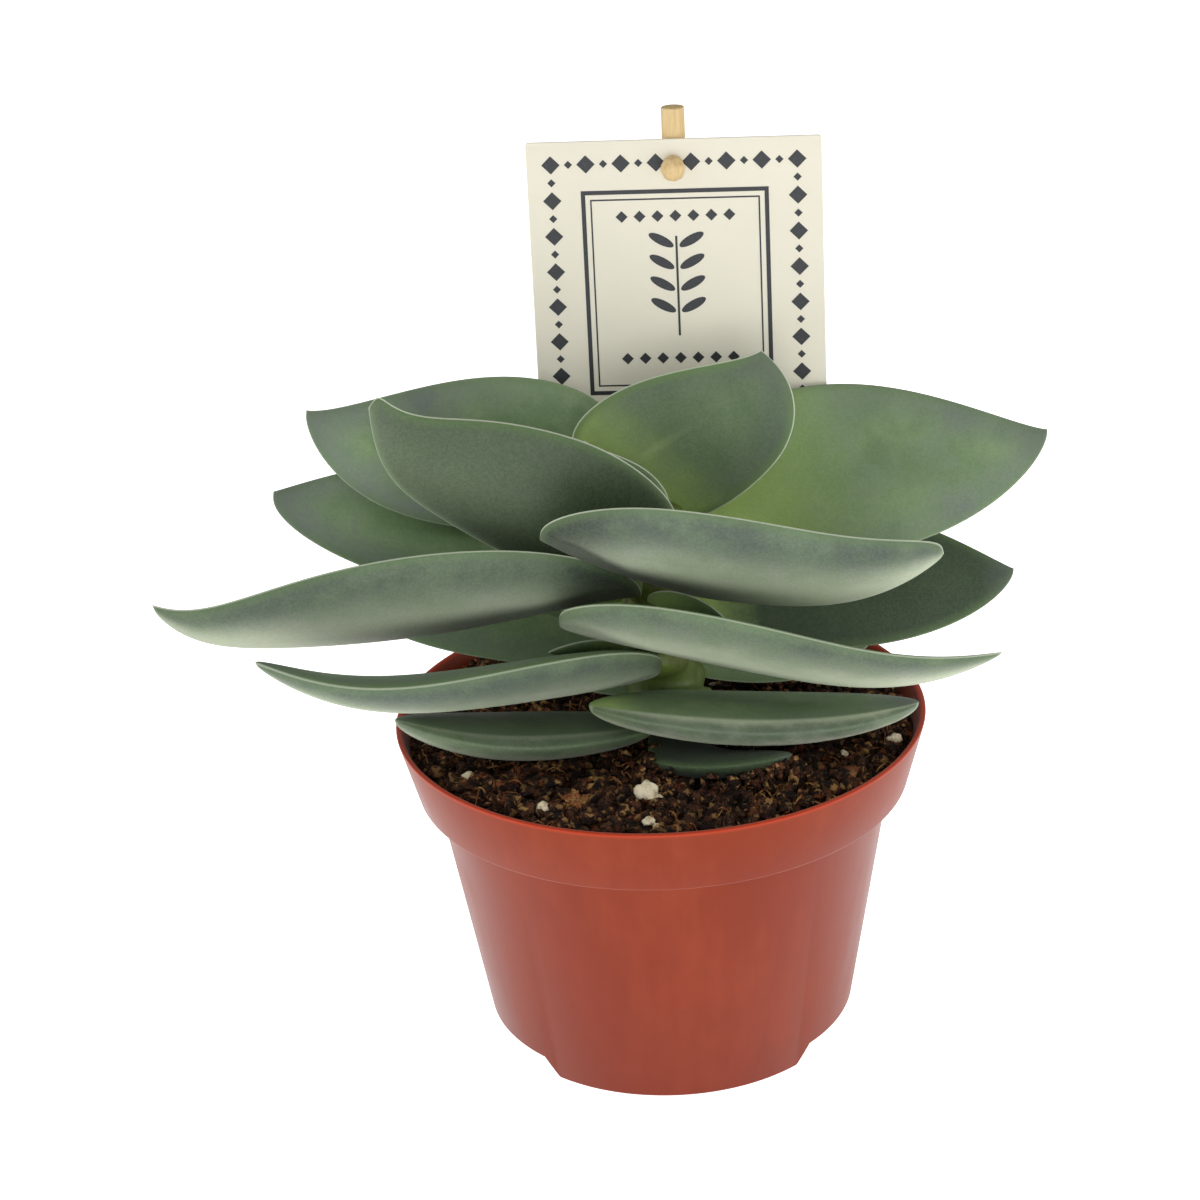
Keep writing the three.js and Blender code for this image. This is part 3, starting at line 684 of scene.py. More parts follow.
def dress_leaf(node, skin):
    """A smooth fleshy leaf that passes through the corners of its solid."""
    bm, root, tip, rings = leaf_cage(node)
    first, second = leaf_edges(rings)
    edge_crease = bm.edges.layers.float["crease_edge"]
    tip_crease, reach, outside, margin, across = (
        bm.verts.layers.float[name] for name in ("crease_vert", "reach", "outside", "margin", "across")
    )
    bm.normal_update()
    sides = range(first + 1, second), [*range(second + 1, len(rings[0])), *range(first)]
    tilt = [sum(ring[j].normal.z for ring in rings[2:-2] for j in columns) for columns in sides]
    outer_side = 0 if tilt[0] < tilt[1] else 1
    for i, ring in enumerate(rings):
        for j, v in enumerate(ring):
            v[reach] = (1 - math.cos(math.pi * (i + 1) / (len(rings) + 1))) / 2
            v[margin] = 1.0 if j in (first, second) else 0.0
            v[across] = math.cos(2 * math.pi * (j - first) / len(ring))
            side = 0 if first < j < second else 1
            v[outside] = 0.5 if j in (first, second) else float(side == outer_side)
    root[reach], tip[reach] = 0.0, 1.0
    root[outside] = tip[outside] = 0.5
    root[margin] = tip[margin] = 1.0
    tip[tip_crease] = 1.0
    if sum(ring[second].co.z - ring[first].co.z for ring in rings) > 0:
        for v in bm.verts:
            v[across] *= -1
    if node in ROLLED_EDGES:
        for v in bm.verts:
            if v[across] > 0.8:
                v[outside] = 1.0
    sharpness = SOFT_EDGES.get(node, settings("leaf").crease)
    for column in (first, second):
        line = [ring[column] for ring in rings] + [tip]
        for lower, upper in zip(line, line[1:]):
            next(e for e in lower.link_edges if e.other_vert(lower) is upper)[edge_crease] = sharpness
    bm.verts.index_update()
    goal = np.array([v.co for v in bm.verts])
    piece = add_piece(node + "_skin", bm, skin, leaf_slot(node), node)
    smooth = piece.modifiers.new("smooth", "SUBSURF")
    smooth.levels = smooth.render_levels = 2
    smooth.use_limit_surface = False
    graph = bpy.context.evaluated_depsgraph_get()
    for _ in range(3):
        graph.update()
        now = points(piece.evaluated_get(graph).data)[: len(goal)]
        cage = points(piece.data) + 0.8 * (goal - now)
        piece.data.vertices.foreach_set("co", cage.ravel())
        piece.data.update()
    settle(piece)
    measure_margin(piece)
    for name, value in zip(LEAF_SHARES, LEAF_LOOKS.get(node, USUAL_LOOKS)):
        piece.data.attributes.new(name, "FLOAT", "POINT").data.foreach_set("value", [value] * len(piece.data.vertices))
    shade(piece, 60)
    return piece


def leaf_slot(node):
    if node.startswith("leaf_front"):
        return "leaf_outer"
    return "leaf_inner" if node.startswith("leaf_back") else "young_leaf"


def points(mesh):
    """The places of a mesh's points as an array of rows."""
    spots = np.zeros(len(mesh.vertices) * 3)
    mesh.vertices.foreach_get("co", spots)
    return spots.reshape(-1, 3)


def measure_margin(piece):
    """Keeps each point's distance to the leaf's edge line in the attribute edge."""
    mesh = piece.data
    spots = points(mesh)
    on_line = np.zeros(len(spots), np.float32)
    mesh.attributes["margin"].data.foreach_get("value", on_line)
    pairs = np.zeros(len(mesh.edges) * 2, np.int32)
    mesh.edges.foreach_get("vertices", pairs)
    pairs = pairs.reshape(-1, 2)
    pairs = pairs[(on_line[pairs] > 0.99).all(axis=1)]
    start, along = spots[pairs[:, 0]], spots[pairs[:, 1]] - spots[pairs[:, 0]]
    away = spots[:, None, :] - start[None]
    place = np.clip((away * along).sum(-1) / np.maximum((along**2).sum(-1), 1e-12), 0, 1)
    distance = np.linalg.norm(away - place[..., None] * along, axis=-1).min(axis=1)
    edge = mesh.attributes.new("edge", "FLOAT", "POINT")
    edge.data.foreach_set("value", distance.astype(np.float32))


def pot_levels(pot):
    """The heights of the collar's foot and of the floor's top, and the wall's outer radius at the floor."""
    collar_foot = pot.height - pot.collar_height
    floor_top = pot.skirt_height + pot.floor_thickness
    return collar_foot, floor_top, pot.foot_radius + (pot.wall_top_radius - pot.foot_radius) * floor_top / collar_foot


def soil_height(x, y):
    """Height of the soil over a place in metres: the solid's own waves, with rougher clods on them."""
    s = settings("soil")
    u, v = x / MM - pot_centre.x / MM, y / MM
    coarse = math.sin(0.16 * u + 1.3) * math.cos(0.19 * v - 0.4)
    middle = math.sin(0.47 * u - 0.31 * v) * math.cos(0.39 * v + 0.22 * u + 2)
    fine = math.sin(1.13 * u + 0.7 * v + 1) * math.sin(0.97 * v - 0.8 * u)
    waves = 0.35 * coarse + 0.4 * middle + 0.25 * fine
    clods = noise.noise(Vector((x, y, 0.31)) / 0.0042) + 0.6 * noise.noise(Vector((x, y, 0.7)) / 0.0019)
    return s.top + s.relief * waves + s.grit * clods


def soil_edge():
    """The radius of the soil's top where it meets the collar."""
    s, p = settings("soil"), settings("pot")
    slope = (p.rim_radius - p.collar_foot_radius) / (p.collar_height - p.collar_step)
    foot = p.height - p.collar_height + p.collar_step
    return p.collar_foot_radius - p.wall - s.gap + slope * (s.top - s.relief - foot)


def label_place():
    """Puts what is made upright round the peg's axis where the label stands."""
    s = settings("label")
    peg = Vector((pot_centre.x + s.right, s.behind, s.peg_height))
    return Matrix.Translation(peg) @ Matrix.Rotation(-s.lean, 4, "X") @ Matrix.Rotation(-s.turn, 4, "Z")


def block(bm, low, high):
    """A box between two corners, added to the mesh."""
    low, high = Vector(low), Vector(high)
    size = high - low
    place = Matrix.Translation((low + high) / 2) @ Matrix.Diagonal((*size, 1))
    return bmesh.ops.create_cube(bm, size=1, matrix=place)["verts"]


# The setting that gives each lamp its power, its size and its place, in metres.
LAMPS = {
    "left_lamp": ("side", 0.9, (-1.0, -0.1, 0.55)),
    "right_lamp": ("side", 0.9, (1.0, -0.05, 0.55)),
    "front_lamp": ("front", 0.7, (0.1, -0.9, 0.12)),
    "top_lamp": ("top", 1.0, (-0.1, -0.45, 1.1)),
}


class CRASSULA_OT_stage(bpy.types.Operator):
    """Sets up the bright table, the soft lamps and the camera"""

    bl_idname = "crassula.stage"
    bl_label = "Set the stage"

    def execute(self, context):
        s = settings("stage")
        made, shader, wire = material("floor_white")
        faint = wire.noise(0.6, 2)
        connect(
            shader, Base_Color=(faint * 0.3).blend(s.floor, [c * 0.97 for c in s.floor]), Roughness=0.9,
            Emission_Color=[1, 1, 1], Emission_Strength=s.glow
        )
        bm = bmesh.new()
        bmesh.ops.create_grid(bm, x_segments=8, y_segments=8, size=4)
        mesh = bpy.data.meshes.new("floor")
        bm.to_mesh(mesh)
        bm.free()
        floor = bpy.data.objects.new("floor", mesh)
        mesh.materials.append(made)
        context.scene.collection.objects.link(floor)
        world = bpy.data.worlds.new("studio")
        world.use_nodes = True
        room = Wire(world.node_tree)
        seen = room.node("ShaderNodeLightPath", {}, {})
        soft = room.node("ShaderNodeBackground", {}, {"Color": (1, 1, 1, 1), "Strength": s.world})
        wall = room.node("ShaderNodeBackground", {}, {"Color": (1, 1, 1, 1), "Strength": 1.0})
        both = room.node("ShaderNodeMixShader", {}, {0: seen, 1: soft, 2: wall})
        world.node_tree.links.new(both.socket, world.node_tree.nodes["World Output"].inputs["Surface"])
        context.scene.world = world
        for name, (setting, size, where) in LAMPS.items():
            self.lamp(context, name, getattr(s, setting), size, where)
        camera = bpy.data.cameras.new("camera")
        camera.lens, camera.sensor_width = s.lens, 36
        camera.clip_start, camera.clip_end = 0.01, 20
        viewer = bpy.data.objects.new("camera", camera)
        eye = Vector((pot_centre.x, -s.distance, s.rise))
        aim = Vector((pot_centre.x + s.aim_side, 0, s.aim_height))
        turn = (aim - eye).to_track_quat("-Z", "Y").to_matrix().to_4x4()
        viewer.matrix_world = Matrix.Translation(eye) @ turn @ Matrix.Rotation(s.roll, 4, "Z")
        context.scene.collection.objects.link(viewer)
        context.scene.camera = viewer
        context.scene.view_settings.view_transform = "Standard"
        return {"FINISHED"}

    def lamp(self, context, name, watts, size, where):
        data = bpy.data.lights.new(name, "AREA")
        data.energy, data.shape, data.size = watts, "SQUARE", size
        lamp = bpy.data.objects.new(name, data)
        aim = Vector((pot_centre.x, 0, 0.1)) - Vector(where)
        lamp.matrix_world = Matrix.Translation(where) @ aim.to_track_quat("-Z", "Y").to_matrix().to_4x4()
        context.scene.collection.objects.link(lamp)


class CRASSULA_OT_pot(bpy.types.Operator):
    """Turns the plastic pot, and cuts its skirt notches and drain holes"""

    bl_idname = "crassula.pot"
    bl_label = "Make the pot"

    def execute(self, context):
        s = settings("pot")
        collar_foot, floor_top, floor_radius = pot_levels(s)
        bm = spun([
            (0, s.skirt_height),
            (s.foot_radius - s.wall, s.skirt_height),
            (s.foot_radius - s.wall, 0),
            (s.foot_radius, 0),
            (s.wall_top_radius, collar_foot - s.collar_step),
            (s.collar_foot_radius, collar_foot),
            (s.rim_radius, s.height),
            (s.rim_radius - s.wall, s.height),
            (s.collar_foot_radius - s.wall, collar_foot + s.collar_step),
            (s.wall_top_radius - s.wall, collar_foot),
            (floor_radius - s.wall, floor_top),
            (0, floor_top),
        ], s.steps)
        bevel_sharp(bm, s.edge_round, 3)
        shift(bm, Matrix.Translation((pot_centre.x, 0, 0)))
        pot = add_piece("pot_shell", bm, pot_plastic(), "pot_plastic", "pot")
        turn = Matrix.Translation((pot_centre.x, 0, 0)) @ Matrix.Rotation(s.turn, 4, "Z")
        notches = bmesh.new()
        for side in (1, -1):
            for v in block(notches, (0, -0.5, -1), (1, 0.5, 0)):
                low = v.co.z < -0.5
                v.co.x = side * s.foot_radius * (0.2 if v.co.x < 0.5 else 1.3)
                v.co.y *= s.notch_foot_width if low else s.notch_top_width
                v.co.z = -MM if low else s.skirt_height
        holes = bmesh.new()
        for i in range(s.drain_holes):
            round_by = 2 * math.pi * i / s.drain_holes
            spot = Vector((s.drain_circle * math.cos(round_by), s.drain_circle * math.sin(round_by), s.skirt_height))
            bmesh.ops.create_cone(
                holes, cap_ends=True, segments=32, radius1=s.drain_radius, radius2=s.drain_radius, depth=8 * MM,
                matrix=Matrix.Translation(spot)
            )
        for cutter in (notches, holes):
            shift(cutter, turn)
            cut(pot, cutter)
        shade(pot, 40)
        return {"FINISHED"}


# Bits of the soil that are placed one by one, in millimetres to the right and to the back: white grains with
# their size, long fibres with their heading and number of joints, and the heap of shredded bark.
PLACED_GRAINS = [
    (-33.7, -25.8, 1.7), (-17.0, -41.6, 1.8), (-19.2, -41.0, 1.1), (5.0, -36.4, 2.7), (7.2, -38.0, 1.9),
    (5.4, -49.6, 1.3), (6.9, -50.2, 0.8), (46.8, -41.4, 1.5), (48.8, -21.3, 1.2), (60.5, -15.8, 1.7),
]
PLACED_FIBRES = [(21.2, -35.4, -1.3, 16), (28.7, -36.1, -1.2, 8), (30.2, -37.5, -2.4, 6), (55.0, -20.0, -2.2, 9)]
CLUMP = (-10.1, -39.5)


class CRASSULA_OT_soil(bpy.types.Operator):
    """Fills the pot with peat, and scatters crumbs, bark, white grains and fibres on it"""

    bl_idname = "crassula.soil"
    bl_label = "Make the soil"

    def execute(self, context):
        s, p = settings("soil"), settings("pot")
        collar_foot, floor_top, floor_radius = pot_levels(p)
        inset = p.wall + s.gap
        edge = soil_edge()
        top = [(edge * i / s.rings, s.top) for i in range(s.rings, -1, -1)]
        bm = spun([
            (0, floor_top + s.gap),
            (floor_radius - inset, floor_top + s.gap),
            (p.wall_top_radius - inset, collar_foot),
            (p.collar_foot_radius - inset, collar_foot + p.collar_step),
            *top,
        ], s.steps)
        for v in bm.verts:
            if v.co.z > s.top - MM:
                spot = v.co + Vector((pot_centre.x, 0, 0))
                fade = min(1.0, (edge - v.co.xy.length) / (2 * MM))
                v.co.z = s.top - s.relief + fade * (soil_height(spot.x, spot.y) - s.top + s.relief)
        shift(bm, Matrix.Translation((pot_centre.x, 0, 0)))
        soil = add_piece("soil_bed", bm, peat("peat_bed", s.dark, s.brown, s.bark), "potting_soil", "soil")
        shade(soil, 60)
        self.random = random.Random(7)
        self.edge = edge
        self.leaves = BVHTree.FromPolygons(*self.plant())
        self.crumbs(s)
        self.chips(s)
        self.grains(s)
        self.fibres(s)
        return {"FINISHED"}

    def plant(self):
        """The points and faces of what stands in or over the soil."""
        spots, faces = [], []
        for node in LEAF_NODES + ["stem", "label_stick"]:
            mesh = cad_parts[node].data
            faces += [[i + len(spots) for i in f.vertices] for f in mesh.polygons]
            spots += [v.co for v in mesh.vertices]
        return spots, faces

    def spot(self, margin):
        """A free place on the soil, at least this far from the wall and the plant."""
        for _ in range(200):
            radius = (self.edge - margin) * math.sqrt(self.random.random())
            heading = self.random.uniform(0, 2 * math.pi)
            x, y = pot_centre.x + radius * math.cos(heading), radius * math.sin(heading)
            place = Vector((x, y, soil_height(x, y)))
            if self.leaves.find_nearest(place)[3] > margin:
                return place
        raise ValueError("no free place is left on the soil")

    def lump(self, bm, place, size, flat, rough, rounds=1):
        """One crumb: a ball of few faces, pushed out of shape, turned and sunk a little."""
        heading, tilt = self.random.uniform(0, 6.3), self.random.uniform(-0.6, 0.6)
        turn = Matrix.Rotation(heading, 4, "Z") @ Matrix.Rotation(tilt, 4, "X")
        verts = bmesh.ops.create_icosphere(bm, subdivisions=rounds, radius=1)["verts"]
        seed = Vector([self.random.uniform(0, 50) for _ in range(3)])
        for v in verts:
            v.co *= 1 + rough * noise.noise(v.co * 1.3 + seed) + 0.3 * rough * noise.noise(v.co * 3.7 + seed)
        shape = Matrix.Translation(place) @ turn @ Matrix.Diagonal((*[size * f for f in flat], 1))
        bmesh.ops.transform(bm, matrix=shape, verts=verts)

    def scatter(self, bits, batch, make):
        """Calls make with a small mesh for each of so many bits, and gathers them in one."""
        bm, few = bmesh.new(), bmesh.new()
        for i in range(bits):
            make(few, i)
            if i % batch == batch - 1 or i == bits - 1:
                gather(bm, few)
        few.free()
        return bm

    def crumbs(self, s):
        def crumb(bm, i):
            size = self.random.choice((0.4, 0.5, 0.6, 0.8, 1.0, 1.4, 2.1)) * MM
            place = self.spot(size)
            place.z += 0.45 * size
            flat = (1, self.random.uniform(0.5, 0.95), self.random.uniform(0.55, 1))
            self.lump(bm, place, size, flat, 0.8)

        bm = self.scatter(s.crumbs, 40, crumb)
        gather(bm, self.clinging())
        piece = add_piece("peat_crumbs", bm, peat("peat_crumb", s.dark, s.brown, s.golden, 0.0011), "potting_soil")
        shade(piece, 50)

    def clinging(self):
        """Crumbs that cling to the front edge and to the left end of the lowest leaf, over the soil."""
        bm = bmesh.new()
        leaf = [v.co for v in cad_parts["leaf_front_right_1"].data.vertices]
        left = min(spot.x for spot in leaf)
        front = [spot for spot in leaf if all(p.y > spot.y - 4 * MM for p in leaf if abs(p.x - spot.x) < 2 * MM)]
        ends = [spot for spot in leaf if spot.x < left + 2.5 * MM]
        for i in range(210):
            size = self.random.uniform(0.5, 1.5) * MM
            if i < 130:
                spot, side, drop = self.random.choice(front), 2.5, (-4.5, -1)
            else:
                spot, side, drop = self.random.choice(ends), 1.2, (-3, 1.2)
            aside = Vector((self.random.uniform(-side, side), self.random.uniform(-1.2, 0), self.random.uniform(*drop)))
            self.lump(bm, spot + aside * MM, size, (1, 0.7, 0.8), 0.8)
        return bm

    def chips(self, s):
        def chip(bm, i):
            size = self.random.uniform(1.0, 2.9) * MM
            place = self.spot(size)
            place.z += 0.35 * size
            flat = (1, self.random.uniform(0.45, 0.9), self.random.uniform(0.4, 0.8))
            self.lump(bm, place, size, flat, 0.8, 2)

        bm = self.scatter(s.chips, 20, chip)
        piece = add_piece("bark_chips", bm, peat("bark_chip", s.dark, s.bark, s.golden, 0.0014), "potting_soil")
        shade(piece, 50)

    def clump(self):
        """A low heap of shredded bark near the front."""
        bm = bmesh.new()
        middle = Vector((*CLUMP, 0)) * MM
        for _ in range(60):
            turn, out = self.random.uniform(0, 6.3), self.random.random()
            place = middle + Vector((math.cos(turn), 0.8 * math.sin(turn), 0)) * 3.2 * MM * out
            place.z = soil_height(place.x, place.y) + (0.3 + 3.4 * (1 - out * out) * self.random.random()) * MM
            self.lump(bm, place, 1.5 * MM, (1, 0.35, 0.45), 0.8, 2)
        return bm

    def grains(self, s):
        bm = bmesh.new()
        for x, y, size in PLACED_GRAINS:
            place = Vector((x * MM, y * MM, soil_height(x * MM, y * MM) + (0.55 * size + 0.5) * MM))
            self.lump(bm, place, 0.95 * size * MM, (1, 0.85, 0.85), 0.45, 3)
            self.lump(bm, place + Vector((0.3, -0.2, 0.1)) * size * MM, 0.8 * size * MM, (1, 0.9, 0.85), 0.5, 3)
        for _ in range(s.grains):
            size = self.random.uniform(0.35, 1.1) * MM
            self.lump(bm, self.spot(size) + Vector((0, 0, 0.5 * size)), size, (1, 0.9, 0.8), 0.3, 2)
        piece = add_piece("white_grains", bm, grain_white(), "potting_soil")
        shade(piece, 50)

    def fibres(self, s):
        # After the long ones: over the heap, along the left edge, and beside the long ones at the right.
        placed = [*PLACED_FIBRES]
        placed += [(CLUMP[0] + 0.5 * i, CLUMP[1], 0.7 * i, 4) for i in range(-5, 6)]
        placed += [(-37.5 + 0.9 * (i % 7) + 0.25 * i, -8.0 - 0.8 * i, 2.4 * i, 6) for i in range(30)]
        placed += [(20.5 + 0.7 * i, -34.5 - 0.4 * (i % 4), 2.1 * i, 6) for i in range(8)]

        def fibre(bm, i):
            if i < len(placed):
                x, y, heading, steps = placed[i]
                place = Vector((x * MM, y * MM, soil_height(x * MM, y * MM) + MM))
            else:
                place, heading = self.spot(2 * MM), self.random.uniform(0, 6.3)
                steps = self.random.randint(3, 8)
            radius = self.random.uniform(0.1, 0.24) * MM
            lift = self.random.uniform(0.5, 1.6) * MM
            ring = bmesh.ops.create_circle(bm, cap_ends=True, segments=4, radius=radius)["verts"]
            upright = Matrix.Rotation(math.pi / 2, 4, "Y")
            bmesh.ops.transform(
                bm, matrix=Matrix.Translation(place) @ Matrix.Rotation(heading, 4, "Z") @ upright, verts=ring
            )
            face = next(f for f in ring[0].link_faces if all(v in ring for v in f.verts))
            for step in range(steps):
                grown = bmesh.ops.extrude_face_region(bm, geom=[face])["geom"]
                verts = [g for g in grown if isinstance(g, bmesh.types.BMVert)]
                face = next(g for g in grown if isinstance(g, bmesh.types.BMFace))
                heading += self.random.uniform(-0.3, 0.3)
                move = Vector((math.cos(heading), math.sin(heading), 0)) * 1.1 * MM
                centre = sum((v.co for v in verts), Vector()) / len(verts) + move
                if (centre.xy - pot_centre.xy).length > self.edge - MM:
                    move = Vector((0, 0, 0.2 * MM))
                else:
                    arch = math.sin(math.pi * (step + 1) / steps)
                    move.z = soil_height(centre.x, centre.y) + 0.4 * MM + lift * arch - centre.z
                bmesh.ops.translate(bm, vec=move, verts=verts)

        bm = self.scatter(s.fibres, 20, fibre)
        gather(bm, self.clump())
        bmesh.ops.recalc_face_normals(bm, faces=bm.faces)
        piece = add_piece("soil_fibres", bm, peat("dry_fibre", s.bark, s.fibre, s.golden, 0.001), "potting_soil")
        shade(piece, 60)


class CRASSULA_OT_stem(bpy.types.Operator):
    """Grows the short stem together with the clasping bases of its leaves"""

    bl_idname = "crassula.stem"
    bl_label = "Make the stem"

    def execute(self, context):
        s = settings("stem")
        bm = spun([
            (0, stem_low.z), (s.foot_radius, stem_low.z), (s.foot_radius, s.neck), (s.top_radius, s.shoulder),
            (0.6 * s.top_radius, stem_high.z), (0, stem_high.z),
        ], 32)
        shift(bm, Matrix.Translation((stem_centre.x, stem_centre.y, 0)))
        for node in LEAF_NODES:
            self.clasp(bm, node, s)
        stem = add_piece("stem_flesh", bm, stem_flesh(), "stem", "stem")
        melt = stem.modifiers.new("melt", "REMESH")
        melt.mode, melt.voxel_size = "VOXEL", s.melt
        even = stem.modifiers.new("even", "SMOOTH")
        even.factor, even.iterations = 0.6, 5
        settle(stem)
        shade(stem, 70)
        return {"FINISHED"}

    def clasp(self, bm, node, s):
        """The base of a leaf: a squashed ball from the stem's middle to where the leaf comes nearest."""
        spots = [v.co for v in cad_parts[node].data.vertices]
        gaps = [(spot.xy - stem_centre.xy).length for spot in spots]
        close = [spot for spot, gap in zip(spots, gaps) if gap < min(gaps) + s.clasp_reach]
        leaf = sum(close, Vector()) / len(close)
        leaf.z = min(leaf.z, s.shoulder)
        width, height, lift, aside = CLASPS.get(node, USUAL_CLASP if node.startswith("leaf_") else SMALL_CLASP)
        inner = Vector((stem_centre.x, stem_centre.y, leaf.z + lift * MM))
        along = leaf - inner
        size = Matrix.Diagonal((along.length / 2 + s.clasp_sink, width * MM, height * MM, 1))
        turn = along.to_track_quat("X", "Z").to_matrix().to_4x4()
        bmesh.ops.create_icosphere(
            bm, subdivisions=3, radius=1,
            matrix=Matrix.Translation((inner + leaf) / 2 + Vector((aside * MM, 0, 0))) @ turn @ size
        )


class CRASSULA_OT_leaves(bpy.types.Operator):
    """Smooths the leaves and gives them their skin"""

    bl_idname = "crassula.leaves"
    bl_label = "Make the leaves"

    def execute(self, context):
        skin = leaf_skin()
        for node in LEAF_NODES:
            dress_leaf(node, skin)
        return {"FINISHED"}


class CRASSULA_OT_label(bpy.types.Operator):
    """Makes the card, its wooden stick and its peg"""

    bl_idname = "crassula.label"
    bl_label = "Make the label"

    def execute(self, context):
        s = settings("label")
        place = label_place()
        wood = pale_wood()
        back = -s.stick_radius - s.card_gap
        front = back - s.card_thickness
        top = s.card_top - s.peg_height
        bm = bmesh.new()
        block(bm, (-s.card_width / 2, front, top - s.card_height), (s.card_width / 2, back, top))
        corners = [e for e in bm.edges if abs((e.verts[0].co - e.verts[1].co).y) > 0.5 * s.card_thickness]
        bmesh.ops.bevel(
            bm, geom=corners, offset=s.corner, affect="EDGES", segments=5, profile=0.5, material=-1, clamp_overlap=True
        )
        bevel_sharp(bm, 0.12 * MM, 2, 60)
        shift(bm, place)
        card = add_piece("label_card_sheet", bm, card_stock(), "label_card", "label_card")
        shade(card, 40)

        bm = bmesh.new()
        low, high = s.stick_foot - s.peg_height, s.stick_top - s.peg_height
        bmesh.ops.create_cone(
            bm, cap_ends=True, segments=40, radius1=s.stick_radius, radius2=s.stick_radius, depth=high - low,
            matrix=Matrix.Translation((0, 0, (high + low) / 2))
        )
        bevel_sharp(bm, 0.35 * MM, 3, 60)
        shift(bm, place)
        stick = add_piece("label_stick_rod", bm, wood, "label_wood", "label_stick")
        shade(stick, 40)

        head_back = front - 0.05 * MM
        dome = [math.radians(90 * i / 8) for i in range(9)]
        straight = 0.45 * s.peg_length
        bm = spun([
            (0, 0), (s.peg_radius * 0.93, 0),
            *[(s.peg_radius * math.cos(a), straight + (s.peg_length - straight) * math.sin(a)) for a in dome],
        ], 40)
        for v in bm.verts:
            v.co *= 1 + 0.09 * noise.noise(v.co / (1.6 * MM))
        aside = Matrix.Translation((0, head_back, 0)) @ Matrix.Rotation(math.pi / 2, 4, "X")
        shift(bm, place @ aside)
        peg = add_piece("label_peg_head", bm, wood, "label_wood", "label_peg")
        shade(peg, 50)
        return {"FINISHED"}


# The print, in millimetres: half the width, half the height and the line of the frame's two rules, the
# sizes of the lozenges and dots, and how far the border's rows and columns lie from the card's middle.
RULES = ((20.4, 23.2, 0.95), (18.7, 21.5, 0.35))
LOZENGE, DOT, SMALL_LOZENGE = 2.9, 1.3, 1.9
BORDER_UP, BORDER_ASIDE = 28.4, 27.3


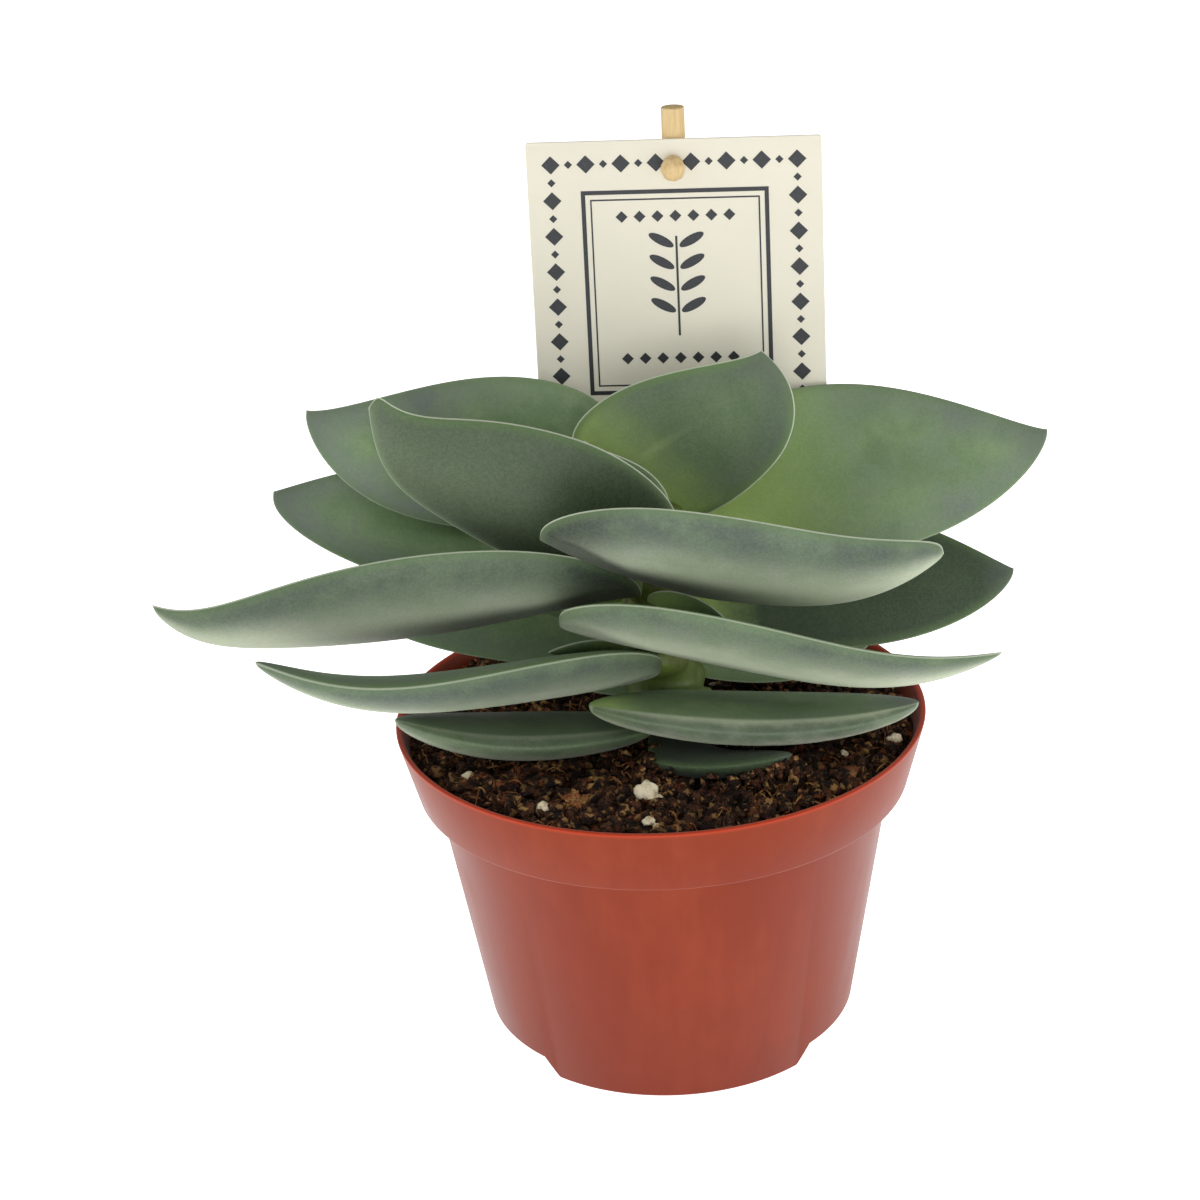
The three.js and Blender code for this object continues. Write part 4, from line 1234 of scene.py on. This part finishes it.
class CRASSULA_OT_print(bpy.types.Operator):
    """Prints the card with a ruled frame, a plain border, two rows of lozenges and a small sprig"""

    bl_idname = "crassula.print"
    bl_label = "Print the card"

    def execute(self, context):
        s = settings("label")
        self.front = -s.stick_radius - s.card_gap - s.card_thickness
        self.ink = s.ink_height
        bm = bmesh.new()
        top = s.card_top - s.peg_height
        middle = top - s.card_height / 2
        frame_middle = top - s.frame_drop
        for rule in RULES:
            self.ruled(bm, frame_middle, *rule)
        self.border(bm, middle)
        self.sprig(bm, frame_middle + 1.5 * MM)
        for side in (-1, 1):
            for i in range(-3, 4):
                self.bar(bm, i * 4, frame_middle + (1.2 + 16.4 * side) * MM, SMALL_LOZENGE, SMALL_LOZENGE, math.pi / 4)
        shift(bm, label_place())
        add_piece("label_print", bm, card_ink(), "label_card")
        return {"FINISHED"}

    def bar(self, bm, x, z, width, height, turn=0.0):
        """A flat bar of ink centred on a place of the card's face, in millimetres."""
        size = Matrix.Diagonal((width * MM, self.ink, height * MM, 1))
        spot = Matrix.Translation((x * MM, self.front - self.ink / 2, z))
        bmesh.ops.create_cube(bm, size=1, matrix=spot @ Matrix.Rotation(turn, 4, "Y") @ size)

    def ruled(self, bm, middle, half_width, half_height, thick):
        for side in (-1, 1):
            self.bar(bm, 0, middle + side * half_height * MM, 2 * half_width + thick, thick)
            self.bar(bm, side * half_width, middle, thick, 2 * half_height - thick)

    def border(self, bm, middle):
        """A band of lozenges and dots between the card's edge and the frame."""
        for side in (-1, 1):
            for i in range(-7, 8):
                size = LOZENGE if i % 2 else DOT
                self.bar(bm, i * 3.9, middle + side * BORDER_UP * MM, size, size, math.pi / 4)
            for i in range(-6, 7):
                size = LOZENGE if i % 2 else DOT
                self.bar(bm, side * BORDER_ASIDE, middle + i * 4.06 * MM, size, size, math.pi / 4)

    def sprig(self, bm, middle):
        """A plain upright sprig with paired leaves."""
        self.bar(bm, 0, middle, 0.5, 23)
        for i in range(4):
            for side in (-1, 1):
                height = middle + (-6 + 5 * i) * MM
                leaf = bmesh.ops.create_circle(bm, cap_ends=True, segments=20, radius=1)["verts"]
                shape = Matrix.Translation((side * 3.4 * MM, self.front - self.ink, height + 1.6 * MM))
                shape = shape @ Matrix.Rotation(-side * 0.5, 4, "Y") @ Matrix.Rotation(math.pi / 2, 4, "X")
                shape = shape @ Matrix.Diagonal((3.1 * MM, 1.05 * MM, 1, 1))
                bmesh.ops.transform(bm, matrix=shape, verts=leaf)
                face = leaf[0].link_faces[0]
                grown = bmesh.ops.extrude_face_region(bm, geom=[face])["geom"]
                ends = [g for g in grown if isinstance(g, bmesh.types.BMVert)]
                bmesh.ops.translate(bm, vec=(0, self.ink, 0), verts=ends)
        bmesh.ops.recalc_face_normals(bm, faces=bm.faces)


MAKERS = [
    CRASSULA_OT_stage, CRASSULA_OT_pot, CRASSULA_OT_soil, CRASSULA_OT_stem, CRASSULA_OT_leaves, CRASSULA_OT_label,
    CRASSULA_OT_print,
]
SETTINGS = {
    "crassula_stage": StageSettings,
    "crassula_pot": PotSettings,
    "crassula_soil": SoilSettings,
    "crassula_stem": StemSettings,
    "crassula_leaf": LeafSettings,
    "crassula_label": LabelSettings,
}


class CRASSULA_PT_maker(bpy.types.Panel):
    """Lists the pieces of the plant and its pot, and their sizes and colours"""

    bl_idname = "CRASSULA_PT_maker"
    bl_label = "Potted crassula"
    bl_space_type = "VIEW_3D"
    bl_region_type = "UI"
    bl_category = "Crassula"

    def draw(self, context):
        for maker in MAKERS:
            self.layout.operator(maker.bl_idname)
        for name, group in SETTINGS.items():
            box = self.layout.box()
            box.label(text=name.split("_")[1].capitalize())
            for key in group.__annotations__:
                box.prop(getattr(context.scene, name), key)


def register():
    for cls in [*SETTINGS.values(), *MAKERS, CRASSULA_PT_maker]:
        bpy.utils.register_class(cls)
    for name, group in SETTINGS.items():
        setattr(bpy.types.Scene, name, PointerProperty(type=group))


def unregister():
    for name in SETTINGS:
        delattr(bpy.types.Scene, name)
    for cls in reversed([*SETTINGS.values(), *MAKERS, CRASSULA_PT_maker]):
        bpy.utils.unregister_class(cls)


def main():
    register()
    for maker in MAKERS:
        group, name = maker.bl_idname.split(".")
        getattr(getattr(bpy.ops, group), name)()


if __name__ == "__main__":
    main()
